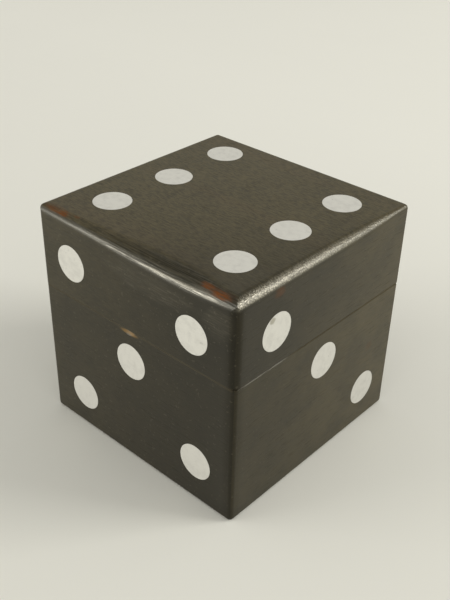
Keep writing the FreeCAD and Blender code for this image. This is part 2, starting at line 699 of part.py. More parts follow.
def make_spring():
    """The spring as one unbroken wire, pressed down as it is under the closed lid."""
    line = SpringLine()
    spans = max(1, round(line.turns * SPANS_PER_TURN))
    stations = [line.at(line.turns * i / spans) for i in range(spans + 1)]
    first, first_way = stations[0]
    last, last_way = stations[-1]
    tail = first - first_way * line.wire
    edges = [Part.LineSegment(tail, first).toShape()]
    for (start, start_way), (end, end_way) in zip(stations, stations[1:]):
        edges += biarc(start, start_way, end, end_way)
    edges.append(Part.LineSegment(last, last + last_way * line.wire).toShape())
    section = Part.Wire([Part.Circle(tail, first_way, line.wire / 2).toShape()])
    path = Part.Wire(edges)
    piece = DOCUMENT.addObject("Part::Feature", "spring")
    piece.Shape = path.makePipeShell([section], True, False)
    share = piece.Shape.Volume / (Part.Face(section).Area * path.Length)
    print(f"spring: pitch {line.pitch:.3f} mm, least gap to itself {line.self_gap():.3f} mm, "
          f"volume against section times length {share:.4f}")
    node(piece)


def make_torso():
    """The torso: an upright skirt at its foot, then a cone up to the ruff."""
    torso, turned = turned_body("torso", [
        (DOWEL_BORE, TORSO_FOOT), ("torso_foot / 2", TORSO_FOOT), ("torso_foot / 2", f"{TORSO_FOOT} + torso_skirt"),
        ("torso_neck / 2", RUFF_FOOT), (DOWEL_BORE, RUFF_FOOT),
    ])
    dress(torso, "Fillet", turned, "torso_rounded", as_wide_as("torso_foot"), "torso_round")
    node(torso)


def make_ruff():
    """The ruff: a low turned ring whose edge is hollowed between its scallops."""
    ruff, ring = turned_body("ruff", [
        (DOWEL_BORE, RUFF_FOOT), ("torso_neck / 2", RUFF_FOOT), ("ruff_diameter / 2", RUFF_FOOT),
        ("ruff_diameter / 2", f"{RUFF_FOOT} + ruff_rim"), ("ruff_neck / 2", HEAD_FOOT), (DOWEL_BORE, HEAD_FOOT),
    ])
    sketch = new_sketch(ruff, "ruff_hollow_plan", "XY_Plane", RUFF_FOOT)
    sketch.addGeometry(Part.Circle(FreeCAD.Vector(START_MIDDLE, 0, 0), UPRIGHT, START_RADIUS))
    sketch.addConstraint(Sketcher.Constraint("PointOnObject", 0, 3, -1))
    out = sketch.addConstraint(Sketcher.Constraint("DistanceX", -1, 1, 0, 3, START_MIDDLE))
    width = sketch.addConstraint(Sketcher.Constraint("Radius", 0, START_RADIUS))
    sketch.setExpression(f"Constraints[{out}]", formula("ruff_diameter / 2 + ruff_scallop / 2 - ruff_bite"))
    sketch.setExpression(f"Constraints[{width}]", formula("ruff_scallop / 2"))
    hollow = ruff.newObject("PartDesign::Pocket", "ruff_hollow")
    hollow.Profile = sketch
    hollow.Type = "ThroughAll"
    hollow.Midplane = True
    DOCUMENT.recompute()
    pattern = ruff.newObject("PartDesign::PolarPattern", "ruff_hollows")
    pattern.Originals = [hollow]
    pattern.Axis = (sketch, ["N_Axis"])
    pattern.Angle = 360
    bind(pattern, {"Occurrences": "ruff_scallops"})
    ruff.Tip = pattern
    DOCUMENT.recompute()
    if ruff.Shape.Volume >= ring.Shape.Volume:
        raise RuntimeError("the ruff's hollows cut nothing")
    node(ruff)


def make_head():
    """The head ball with the holes for its dowel and nose, the nose in its dish, and the dowel."""
    middle = ("0", "0", HEAD_MIDDLE)
    skull = ball("head_ball", "head_diameter / 2", middle)
    below = box("head_below", ("-head_diameter", "head_diameter"), ("-head_diameter", "head_diameter"),
                (f"{HEAD_FOOT} - head_diameter", HEAD_FOOT))
    dowel_hole = rod("head_dowel_hole", DOWEL_BORE, "dowel_grip", ("0", "0", HEAD_FOOT))
    nose_at = ("0", "-(head_diameter / 2 + nose_diameter / 2 - nose_sink)", f"{HEAD_MIDDLE} - nose_drop")
    inwards = INWARDS["front"]
    peg_hole = rod("head_nose_hole", "nose_peg / 2 + fit_gap", "nose_peg_length", nose_at, inwards)
    dish = ball("head_nose_dish", "nose_diameter / 2 + fit_gap", nose_at)
    node(cut("head", skull, [below, dowel_hole, peg_hole, dish]))

    bulb = ball("nose_bulb", "nose_diameter / 2", nose_at)
    peg = rod("nose_bulb_peg", "nose_peg / 2", "nose_peg_length - fit_gap", nose_at, inwards)
    node(fuse("nose", [bulb, peg]))

    node(rod("neck_dowel", "dowel_diameter / 2", f"{DOWEL_TOP} - fit_gap - {FOLLOWER_FOOT}", ("0", "0", FOLLOWER_FOOT)))


def make_cap():
    """The cap: a bowl over the head that runs smoothly into a cone, with a rolled rim and a bead on its tip."""
    bowl_radius = "(head_diameter / 2 + cap_wall)"
    tip_height = "(head_diameter / 2 + cap_rise)"
    tip_reach = f"sqrt({tip_height} ^ 2 + cap_tip ^ 2)"
    # The cone leaves the bowl at this angle above the middle of the head, where the two share a tangent.
    leave = f"(atan({tip_height} / cap_tip) - acos({bowl_radius} / {tip_reach}))"
    leave_height = f"{bowl_radius} * sin({leave})"
    rim_radius = f"sqrt({bowl_radius} ^ 2 - cap_seat ^ 2)"
    middle = ("0", "0", HEAD_MIDDLE)
    span = (f"-{bowl_radius}", bowl_radius)
    bowl = cut("cap_bowl", ball("cap_bowl_ball", bowl_radius, middle), [
        box("cap_below", span, span, (f"{HEAD_MIDDLE} - {bowl_radius}", CAP_RIM)),
        box("cap_above", span, span, (f"{HEAD_MIDDLE} + {leave_height}", f"{HEAD_MIDDLE} + 2 * {bowl_radius}")),
    ])
    peak = cone("cap_peak", f"{bowl_radius} * cos({leave})", "cap_tip", f"{tip_height} - {leave_height}",
                ("0", "0", f"{HEAD_MIDDLE} + {leave_height}"))
    roll = DOCUMENT.addObject("Part::Torus", "cap_rim")
    bind(roll, {"Radius1": f"{rim_radius} - cap_wall / 2", "Radius2": "cap_roll / 2"})
    put(roll, ("0", "0", f"{CAP_RIM} + cap_roll / 2"))
    hollow = ball("cap_hollow", "head_diameter / 2 + fit_gap", middle)
    peg_foot = f"{CAP_TIP} - bead_peg_length"
    peg_hole = rod("cap_peg_hole", "bead_peg / 2 + fit_gap", "bead_peg_length", ("0", "0", peg_foot))
    node(cut("cap", fuse("cap_blank", [bowl, peak, roll]), [hollow, peg_hole]))

    bead = ball("bead_ball", "bead_diameter / 2", ("0", "0", BEAD_MIDDLE))
    peg = rod("bead_ball_peg", "bead_peg / 2", f"{BEAD_MIDDLE} - ({peg_foot}) - fit_gap",
              ("0", "0", f"{peg_foot} + fit_gap"))
    node(fuse("cap_bead", [bead, peg]))


def write_nodes():
    """Stop on any failed object or bad shape, then write each piece to its own file."""
    DOCUMENT.recompute()
    failed = [item.Name for item in DOCUMENT.Objects if "Invalid" in item.State or "Error" in item.State]
    if failed:
        raise RuntimeError(f"failed objects: {failed}")
    for piece in NODES:
        if piece.Shape.isNull() or not piece.Shape.isValid() or not piece.Shape.Solids:
            raise RuntimeError(f"bad shape: {piece.Label}")
    os.makedirs("parts", exist_ok=True)
    for piece in NODES:
        piece.Shape.exportStep(f"parts/{piece.Label}.step")
    print(f"{len(NODES)} pieces written")


def main():
    holes = make_pips()
    mortises = make_hinges()
    make_shell(holes, mortises)
    make_lining()
    make_spring_seats()
    make_spring()
    make_torso()
    make_ruff()
    make_head()
    make_cap()
    write_nodes()


main()
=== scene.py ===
"""Finishes and small pieces of a wooden die that opens as a jack in the box.

The boards, pips, lining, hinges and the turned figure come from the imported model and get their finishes
here. The coil spring, the slotted hinge screws, the pleated ruff and the coat buttons are modelled here.
Lengths are metres.
"""

import json
import math

import bpy
from bpy.props import FloatProperty, FloatVectorProperty, IntProperty, PointerProperty
from mathutils import Matrix, Vector


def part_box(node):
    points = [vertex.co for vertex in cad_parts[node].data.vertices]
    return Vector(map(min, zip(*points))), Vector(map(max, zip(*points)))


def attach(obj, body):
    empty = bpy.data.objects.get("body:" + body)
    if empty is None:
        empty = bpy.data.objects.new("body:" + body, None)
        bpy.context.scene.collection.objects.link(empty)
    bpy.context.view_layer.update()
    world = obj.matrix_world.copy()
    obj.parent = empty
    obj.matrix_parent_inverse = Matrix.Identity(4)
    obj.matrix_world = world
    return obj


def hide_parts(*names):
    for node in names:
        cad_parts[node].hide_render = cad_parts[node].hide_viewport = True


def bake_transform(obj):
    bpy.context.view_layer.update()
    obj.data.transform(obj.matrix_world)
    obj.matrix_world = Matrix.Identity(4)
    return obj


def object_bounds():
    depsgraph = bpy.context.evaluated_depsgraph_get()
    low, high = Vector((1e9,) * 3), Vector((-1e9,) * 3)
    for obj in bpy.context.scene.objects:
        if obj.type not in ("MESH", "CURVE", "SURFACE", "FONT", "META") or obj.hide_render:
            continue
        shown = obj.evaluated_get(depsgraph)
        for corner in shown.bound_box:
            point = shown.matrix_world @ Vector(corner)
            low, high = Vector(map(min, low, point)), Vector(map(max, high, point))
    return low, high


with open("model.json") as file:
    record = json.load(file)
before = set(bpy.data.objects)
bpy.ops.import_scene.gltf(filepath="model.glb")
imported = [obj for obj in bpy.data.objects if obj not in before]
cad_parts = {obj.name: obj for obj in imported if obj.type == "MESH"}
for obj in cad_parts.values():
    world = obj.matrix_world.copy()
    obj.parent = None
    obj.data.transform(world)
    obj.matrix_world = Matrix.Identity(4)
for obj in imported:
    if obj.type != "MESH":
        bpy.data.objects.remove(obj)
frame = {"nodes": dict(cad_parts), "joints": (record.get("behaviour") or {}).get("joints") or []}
NODES = frame["nodes"]
CAD_LOW, CAD_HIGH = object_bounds()

bl_info = {
    "name": "Die jack in the box",
    "version": (1, 0, 0),
    "blender": (4, 5, 0),
    "location": "3D View > Sidebar > Die box",
    "description": "Finishes and small pieces of a wooden die with a figure on a spring inside",
    "category": "Object",
}

MM = 0.001

# The die's outside, and the frame's own places that the finishes refer to.
HALF_WIDTH = CAD_HIGH.x
HALF_DEPTH = CAD_HIGH.y
TOP = CAD_HIGH.z
SEAM = next(joint["pos_m"][2] for joint in frame["joints"] if joint["name"] == "lid_hinge")
HEAD_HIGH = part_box("head")[1]
HEAD_RADIUS = HEAD_HIGH.x
HEAD_MIDDLE = HEAD_HIGH.z - HEAD_RADIUS
CAP_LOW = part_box("cap")[0]
RUFF_LOW, RUFF_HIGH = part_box("ruff")
TORSO_LOW, TORSO_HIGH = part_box("torso")

# Each board: the axis of its grain, the depth of its painted shade far from the front right corner and at
# it, and how much of its grain still shows. The upright boards get more painted shade than the top.
BOARDS = {
    "lid_top": ("X", 0.0, 0.55, 0.55),
    "lid_front": ("X", 0.57, 0.92, 0.25),
    "lid_back": ("X", 0.39, 0.73, 0.2),
    "lid_left": ("Y", 0.43, 0.73, 0.2),
    "lid_right": ("Y", 0.37, 0.83, 0.15),
    "base_front": ("X", 0.71, 0.89, 0.25),
    "base_back": ("X", 0.46, 0.78, 0.2),
    "base_left": ("Y", 0.48, 0.78, 0.2),
    "base_right": ("Y", 0.24, 0.64, 0.15),
    "base_bottom": ("X", 0.46, 0.78, 0.2),
}
# Finishes in bare wood, each with the axis of the grain and its pieces, and the pieces of brass.
BARE_WOOD = {
    "pale_wood_along": ("X", ["lining_front", "lining_back", "spring_seat", "follower"]),
    "pale_wood_across": ("Y", ["lining_left", "lining_right", "neck_dowel"]),
}
BRASS = [f"{half}_hinge_leaf_{side}" for half in ("lid", "base") for side in ("left", "right")]
BRASS += ["hinge_pin_left", "hinge_pin_right", "lid_hinge_screws", "base_hinge_screws", "cap_bead"]


def tint(name, description, default):
    return FloatVectorProperty(name=name, description=description, subtype="COLOR", min=0, max=1,
                               default=default)


def length(name, description, default):
    return FloatProperty(name=name, description=description, unit="LENGTH", default=default, precision=5)


def sides(name, description, default):
    return FloatVectorProperty(name=name, description=description, unit="LENGTH", size=2, default=default)


def angle(name, description, degrees):
    return FloatProperty(name=name, description=description, subtype="ANGLE", default=math.radians(degrees))


def power(name, description, default):
    return FloatProperty(name=name, description=description, subtype="POWER", default=default)


def amount(name, description, default):
    return FloatProperty(name=name, description=description, min=0, default=default)


def count(name, description, default):
    return IntProperty(name=name, description=description, min=1, default=default)


class DIEBOX_PG_wood(bpy.types.PropertyGroup):
    """Stain, wear and grain of the wood"""

    ebony: tint("Ebony", "Stain in the darkest grain", (0.0350, 0.0283, 0.0124))
    umber: tint("Umber", "Stain in the lighter grain", (0.0835, 0.0662, 0.0298))
    # Painted shade: this near black is laid over the stain on the upright boards, on the upright edge at the
    # front right corner and along the rounded front edge.
    painted_shade: tint("Polish", "Dark polish that deepens the stain", (0.006, 0.005, 0.003))
    russet: tint("Russet", "Red warmth that shows through the stain in places", (0.075, 0.040, 0.018))
    # Along the seam this pale colour is dust and also painted light that lifts the groove's shade.
    scuff: tint("Scuff", "Fine pale scratches, dust and the edge of the seam", (0.17, 0.15, 0.105))
    rubbed: tint("Rubbed", "Wood where the stain is rubbed off an edge", (0.150, 0.050, 0.013))
    oil: tint("Oil", "Tint of the satin shine", (1.0, 0.97, 0.84))
    wax: tint("Wax", "Tint of the shine on the burnished edges", (1.0, 0.94, 0.78))
    nick: tint("Nick", "Fresh wood in the finger nick", (0.20, 0.125, 0.050))
    inside: tint("Inside", "Unstained wood on the inner faces", (0.20, 0.105, 0.045))
    pale: tint("Pale", "Bare wood of the lining and the spring's seats", (0.50, 0.33, 0.165))
    pale_line: tint("Pale line", "Darker lines in the bare wood", (0.33, 0.19, 0.08))
    roughness: amount("Roughness", "Satin of the waxed stain", 0.40)
    gloss: amount("Gloss", "Strength of the satin shine", 0.44)
    grain_stretch: amount("Grain stretch", "How much longer than wide the grain runs", 16.0)
    fleck_stretch: amount("Fleck stretch", "How much longer than wide the fine flecks are", 4.0)
    scratch: length("Scratch", "Width of the finest scratches", 0.22 * MM)
    pore: length("Pore", "Width of the finest pores", 0.30 * MM)
    speckle: length("Speckle", "Width of the specks and rubs on the burnished edges", 0.42 * MM)
    mottle: length("Mottle", "Width of the fine flecks in the stain", 0.6 * MM)
    dust: length("Dust", "Width of the faint pale marks", 0.8 * MM)
    streak: length("Streak", "Width of the grain's streaks", 1.1 * MM)
    band: length("Band", "Width of the broad tone changes", 9.0 * MM)
    pore_depth: length("Pore depth", "Depth of the pores in the satin surface", 0.012 * MM)
    speckle_depth: length("Speckle depth", "Depth of the speckle on the burnished edges", 0.035 * MM)


class DIEBOX_PG_inlay(bpy.types.PropertyGroup):
    """Pale discs of the pips"""

    bone: tint("Bone", "Colour of the discs", (0.684, 0.668, 0.597))
    # This grey also paints the shade on the lower pips.
    fleck_and_shade: tint("Fleck", "Grey of the flecks and the grime on the discs", (0.36, 0.347, 0.312))
    stain: tint("Stain", "Brown that crept in from the wood", (0.225, 0.205, 0.130))
    roughness: amount("Roughness", "Satin of the ground face", 0.52)


class DIEBOX_PG_hardware(bpy.types.PropertyGroup):
    """Hinges, screws and spring"""

    brass: tint("Brass", "Clean brass", (0.62, 0.42, 0.15))
    tarnish: tint("Tarnish", "Brown film on the metal", (0.22, 0.13, 0.05))
    steel: tint("Steel", "Drawn spring wire", (0.42, 0.42, 0.43))
    screw_head: length("Screw head", "Diameter of a screw's head", 2.4 * MM)
    screw_head_depth: length("Screw head depth", "Height of a screw's sunk head", 0.7 * MM)
    screw_shank: length("Screw shank", "Diameter of a screw's shank", 1.2 * MM)
    screw_slot: length("Screw slot", "Width of the slot in a screw head", 0.36 * MM)
    screw_slot_depth: length("Screw slot depth", "Depth of the slot in a screw head", 0.30 * MM)
    spring_turns: count("Spring turns", "Turns of the coil spring", 5)
    spring_wire: length("Spring wire", "Diameter of the spring's wire", 1.2 * MM)


class DIEBOX_PG_figure(bpy.types.PropertyGroup):
    """Paint and small pieces of the figure"""

    coat: tint("Coat", "Red of the coat and the nose", (0.40, 0.030, 0.022))
    cap: tint("Cap", "Green of the cap", (0.022, 0.135, 0.060))
    trim: tint("Trim", "Yellow of the trim", (0.62, 0.38, 0.07))
    cream: tint("Cream", "Cream of the ruff", (0.68, 0.60, 0.43))
    skin: tint("Skin", "Paint of the face", (0.66, 0.40, 0.25))
    blush: tint("Blush", "Cheeks and mouth", (0.52, 0.075, 0.055))
    eye_white: tint("Eye white", "White of the eyes", (0.76, 0.74, 0.68))
    ink: tint("Ink", "Pupils and brows", (0.018, 0.014, 0.012))
    pleats: count("Pleats", "Folds round the ruff", 16)
    cloth: length("Cloth", "Thickness of the ruff", 0.5 * MM)
    button: length("Button", "Diameter of a coat button", 2.6 * MM)
    button_height: length("Button height", "Thickness of a coat button", 0.9 * MM)


class DIEBOX_PG_stage(bpy.types.PropertyGroup):
    """Floor, light and camera"""

    floor: tint("Floor", "Pale paper that the box stands on", (0.82, 0.807, 0.722))
    # Painted light: this paler paper brightens the floor towards the back.
    far_floor_light: tint("Far floor", "Paler paper towards the back", (0.884, 0.870, 0.780))
    floor_shade: tint("Floor shade", "Faint clouds in the paper", (0.5, 0.5, 0.45))
    floor_size: length("Floor size", "Side of the sheet of paper", 6.0)
    backdrop: tint("Backdrop", "Pale surround that the camera and the gloss see", (0.72, 0.705, 0.62))
    overhead: tint("Overhead", "Dim room above that the gloss sees", (0.10, 0.10, 0.09))
    daylight: tint("Daylight", "Colour of all the light", (1.0, 0.995, 0.975))
    ambient: amount("Ambient", "Light from all round", 0.585)
    lean: amount("Lean", "How much more of it comes from the camera's side", 0.5)
    lamp_distance: length("Lamp distance", "From the middle of the box to either lamp", 2.0)
    key_power: power("Key power", "Lamp behind on the right", 18.8)
    key_size: sides("Key size", "Width and height of that lamp", (0.85, 0.85))
    key_azimuth: angle("Key azimuth", "Round from the five-pip face", 131)
    key_elevation: angle("Key elevation", "Above the floor", 28)
    fill_power: power("Fill power", "Low lamp on the left", 18.5)
    fill_size: sides("Fill size", "Width and height of that lamp", (1.20, 0.52))
    fill_azimuth: angle("Fill azimuth", "Round from the five-pip face", -40)
    fill_elevation: angle("Fill elevation", "Above the floor", 9)
    camera_azimuth: angle("Camera azimuth", "Round from the five-pip face", 41.66)
    camera_elevation: angle("Camera elevation", "Above the floor", 32.65)
    camera_roll: angle("Camera roll", "Tilt of the picture", 1.43)
    camera_place: FloatVectorProperty(name="Camera place", description="Where the camera stands",
                                      unit="LENGTH", subtype="TRANSLATION",
                                      default=(0.15826, -0.17714, 0.19448))
    camera_lens: FloatProperty(name="Camera lens", description="Focal length, mm", default=52.40)


class Nodes:
    """A node tree that grows by short calls, most of which return an output that the next one can take."""

    def __init__(self, owner):
        owner.use_nodes = True
        self.tree = owner.node_tree
        self.tree.nodes.clear()

    def add(self, kind, inputs=None, **settings):
        """A new node. An input is linked where it gets an output, and otherwise set to a value."""
        node = self.tree.nodes.new(kind)
        for name, value in settings.items():
            setattr(node, name, value)
        for key, value in (inputs or {}).items():
            if isinstance(value, bpy.types.NodeSocket):
                self.tree.links.new(value, node.inputs[key])
            else:
                node.inputs[key].default_value = value
        return node

    def math(self, operation, first, second=0.0):
        return self.add("ShaderNodeMath", {0: first, 1: second}, operation=operation).outputs[0]

    def chain(self, operation, values):
        made = values[0]
        for value in values[1:]:
            made = self.math(operation, made, value)
        return made

    def product(self, *values):
        return self.chain("MULTIPLY", values)

    def sum(self, *values):
        return self.chain("ADD", values)

    def most(self, *values):
        return self.chain("MAXIMUM", values)

    def minus(self, first, second):
        return self.math("SUBTRACT", first, second)

    def size(self, value):
        return self.math("ABSOLUTE", value)

    def hypot(self, first, second):
        squares = self.sum(self.math("POWER", first, 2.0), self.math("POWER", second, 2.0))
        return self.math("SQRT", squares)

    def step(self, value, low, high):
        """A smooth rise from 0 at low to 1 at high, which may lie either way round."""
        inputs = {0: value, 1: low, 2: high}
        return self.add("ShaderNodeMapRange", inputs, interpolation_type="SMOOTHSTEP").outputs[0]

    def spread(self, value, to, over=(0.0, 1.0)):
        """A value stretched evenly from the range that it runs over to another one."""
        inputs = {0: value, 1: over[0], 2: over[1], 3: to[0], 4: to[1]}
        return self.add("ShaderNodeMapRange", inputs).outputs[0]

    def blend(self, share, first, second):
        """The first value where share is 0, and the second where it is 1."""
        inputs = {0: share, 2: first, 3: second}
        return self.add("ShaderNodeMix", inputs, data_type="FLOAT").outputs[0]

    def mix(self, share, first, second):
        """The same for colours, each an output or three numbers."""
        inputs = {0: share}
        for key, colour in ((6, first), (7, second)):
            inputs[key] = colour if isinstance(colour, bpy.types.NodeSocket) else (*colour, 1.0)
        return self.add("ShaderNodeMix", inputs, data_type="RGBA").outputs[2]

    def over(self, under, colour, *cover):
        """A colour laid over another, where the values of its cover multiply to 1."""
        return self.mix(self.product(*cover), under, colour)


class Finish(Nodes):
    """A material whose patterns lie in the frame that all pieces share."""

    # How far out a soft spot ends and is full, as shares of its reach.
    SPOT_EDGE = (1.0, 0.35)

    def __init__(self, name):
        self.material = bpy.data.materials.new(name)
        super().__init__(self.material)
        self.place = self.add("ShaderNodeTexCoord").outputs["Object"]
        self.x, self.y, self.z = self.add("ShaderNodeSeparateXYZ", {0: self.place}).outputs

    def mapped(self, *scale):
        """Places scaled along X, Y and Z. A pattern is drawn out along the axis with the smallest scale."""
        return self.add("ShaderNodeMapping", {"Vector": self.place, "Scale": scale}).outputs[0]

    def stretched(self, along, stretch):
        """Places for a grain that runs along X or Y."""
        return self.mapped(1 / stretch, 1, 1) if along == "X" else self.mapped(1, 1 / stretch, 1)

    def noise(self, place, size, detail=2.0, roughness=0.5, distortion=0.0, rise=None):
        """Noise in lumps of about a size. With rise, it goes from 0 at one of its levels to 1 at another."""
        inputs = {"Vector": place, "Scale": 1 / size, "Detail": detail, "Roughness": roughness,
                  "Distortion": distortion}
        level = self.add("ShaderNodeTexNoise", inputs).outputs[0]
        return self.step(level, *rise) if rise else level

    def vector(self, operation, first, second=None):
        inputs = {0: first} if second is None else {0: first, 1: second}
        return self.add("ShaderNodeVectorMath", inputs, operation=operation).outputs

    def near(self, middle, reach, ragged=None, rag=0.0):
        """1 at a point and 0 outside an egg-shaped space round it, whose edge a noise can make ragged."""
        offset = self.vector("SUBTRACT", self.place, middle)[0]
        scaled = self.vector("MULTIPLY", offset, tuple(1 / side for side in reach))[0]
        far = self.vector("LENGTH", scaled)["Value"]
        if ragged is not None:
            far = self.sum(far, self.spread(ragged, (-rag, rag)))
        return self.step(far, *self.SPOT_EDGE)

    def bump(self, height, depth, normal=None):
        inputs = {"Height": height, "Distance": depth, "Strength": 1.0}
        if normal is not None:
            inputs["Normal"] = normal
        return self.add("ShaderNodeBump", inputs).outputs[0]

    def surface(self, sockets):
        """The shader itself: sockets hold outputs, or values that are the same all over."""
        shader = self.add("ShaderNodeBsdfPrincipled", sockets)
        self.add("ShaderNodeOutputMaterial", {"Surface": shader.outputs[0]})
        return self.material


def dress(names, material):
    """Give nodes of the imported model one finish."""
    for name in names:
        mesh = NODES[name].data
        mesh.materials.clear()
        mesh.materials.append(material)


# Spots where the stain is rubbed down to red wood: middle, reach along X, Y and Z, and strength.
RUBBED_SPOTS = [
    ((-0.0330, -0.0378, 0.0765), (0.0090, 0.0022, 0.0016), 0.30),
    ((-0.0345, -0.0381, 0.0764), (0.0045, 0.0011, 0.0010), 0.5),
    ((-0.0300, -0.0378, 0.0764), (0.0030, 0.0015, 0.0012), 1.0),
    ((-0.0250, -0.0370, 0.0767), (0.0022, 0.0009, 0.0010), 0.5),
    ((0.0310, -0.0376, 0.0759), (0.0090, 0.0022, 0.0018), 0.30),
    ((0.0277, -0.0372, 0.0760), (0.0036, 0.0014, 0.0012), 1.0),
    ((0.0333, -0.0380, 0.0757), (0.0050, 0.0015, 0.0013), 1.0),
    ((0.0400, -0.0222, 0.0730), (0.0015, 0.0028, 0.0020), 0.4),
    ((0.0400, 0.0262, 0.0307), (0.0015, 0.0024, 0.0018), 0.2),
]
# Patches of fine scratches: middle, reach along X, Y and Z, and strength.
SCUFFED_PLACES = [
    ((0.0345, -0.0395, 0.0690), (0.0068, 0.0020, 0.0055), 0.22),
    ((0.0080, -0.0395, 0.0692), (0.0240, 0.0020, 0.0044), 0.24),
    ((0.0300, -0.0300, 0.0768), (0.0120, 0.0110, 0.0020), 0.20),
]
# Middle and reach of the finger nick, and of the stretch of the seam that is rubbed bright.
NICK = ((-0.0013, -HALF_DEPTH, SEAM - 0.0006), (0.0046, 0.0014, 0.0009))
BRIGHT_SEAM = ((HALF_WIDTH, -0.028, SEAM), (0.003, 0.018, 0.002))

# Where the wear and the painted shade come in, from none of it to all of it: round the upright edges,
# towards the front right corner and to the right of it, then by the depth under the top, a face, an edge and
# the seam.
UPRIGHT_ROUND = (4.8 * MM, 1.0 * MM)
FRONT_CORNER = (60 * MM, 70 * MM)
# The painted shade that darkens each board towards the front right corner rises over this run.
CORNER_SHADE_RUN = (5 * MM, HALF_WIDTH + HALF_DEPTH)
RIGHT_OF_CORNER = (-0.6 * MM, 2.2 * MM)
RIGHT_FACE = (HALF_WIDTH - 1.0 * MM, HALF_WIDTH - 0.6 * MM)
BELOW_ROUND = (2.0 * MM, 3.4 * MM)
ROUND_HEIGHT = (6.5 * MM, 5.0 * MM)
# Heights under the top where the painted dark reflection lies on the rounded front edge.
ROLL_SHADE_HEIGHT = (2.4 * MM, 1.2 * MM)
FLAT_TOP = (0.10 * MM, 0.02 * MM)
ROUND_DEPTH = (0.05 * MM, 0.30 * MM)
BARE_DEPTH = (0.85 * MM, 1.7 * MM)
SEAM_DEPTH = (0.8 * MM, 0.4 * MM)
BARE_EDGE = (2.6 * MM, 3.6 * MM)
SEAM_LINE = (0.45 * MM, 0.25 * MM)
# Runs along the rounded top edges: the front one from left to right, the right one from front to back.
# The painted dark reflection along the rounded front edge grows over this run.
ROLL_SHADE_RUN = (-20 * MM, 12 * MM)
FRONT_SHINE_RUN = (-40 * MM, 20 * MM)
FRONT_SHINE_END = (30 * MM, 38 * MM)
RIGHT_SHINE_RUN = (-36 * MM, 34 * MM)

# Share of the streaks, against the clouds, in the veil of stain and in the ragged edge of a worn spot, how
# ragged those edges are, and the levels at which the stain turns lighter and the inner wood paler.
VEIL_STREAKS = 0.35
RAGGED_STREAKS = 0.6
SCUFF_RAG = 0.8
RUBBED_RAG = 0.9
TONE_RISE = (0.24, 0.70)
INSIDE_RISE = (0.3, 0.7)

# How much each mark covers of the colour below it, at both ends of its run where it has one.
RUSSET_COVER = 0.24
PORE_COVER = 0.25
# Cover of the painted shade on the upright edge at the front right corner.
UPRIGHT_EDGE_SHADE_COVER = 0.72
DUST_COVER = 0.16
LINE_COVER = (0.25, 1.0)
# Cover of the painted dark reflection along the rounded front edge.
ROLL_SHADE_COVER = (0.20, 0.60)
# Cover of the pale seam line: dust, and painted light that lifts the groove's shade.
SEAM_DUST_AND_LIGHT_COVER = (0.30, 0.14)

# How bright the burnished edges are along their runs, and from rub to rub and from speck to speck.
FRONT_SHINE = (0.0, 0.66)
FRONT_SHINE_FALL = (1.0, 0.40)
RIGHT_SHINE = (1.1, 0.5)
RUB_SHINE = (0.25, 1.85)
SPECKLE_SHINE = (0.60, 1.35)
# How high the streaks and the rubs stand, against the depth of the pores and the height of the specks.
STREAK_RELIEF = 0.6
RUB_RELIEF = 0.5

# What the wear adds to the roughness, the gloss and the index of refraction. A pair is for the front edge
# and the right one.
STREAK_ROUGHNESS = 0.06
PORE_ROUGHNESS = 0.12
BARE_ROUGHNESS = 0.25
FLAT_TOP_ROUGHNESS = 0.04
BURNISHED_ROUGHNESS = (-0.08, -0.03)
BURNISHED_GLOSS = 0.52
DULL_GLOSS = -0.30
CORNER_GLOSS = -0.18
RED_GLOSS = 0.15
PLAIN_INDEX = 1.5
BURNISHED_INDEX = (0.15, 0.40)


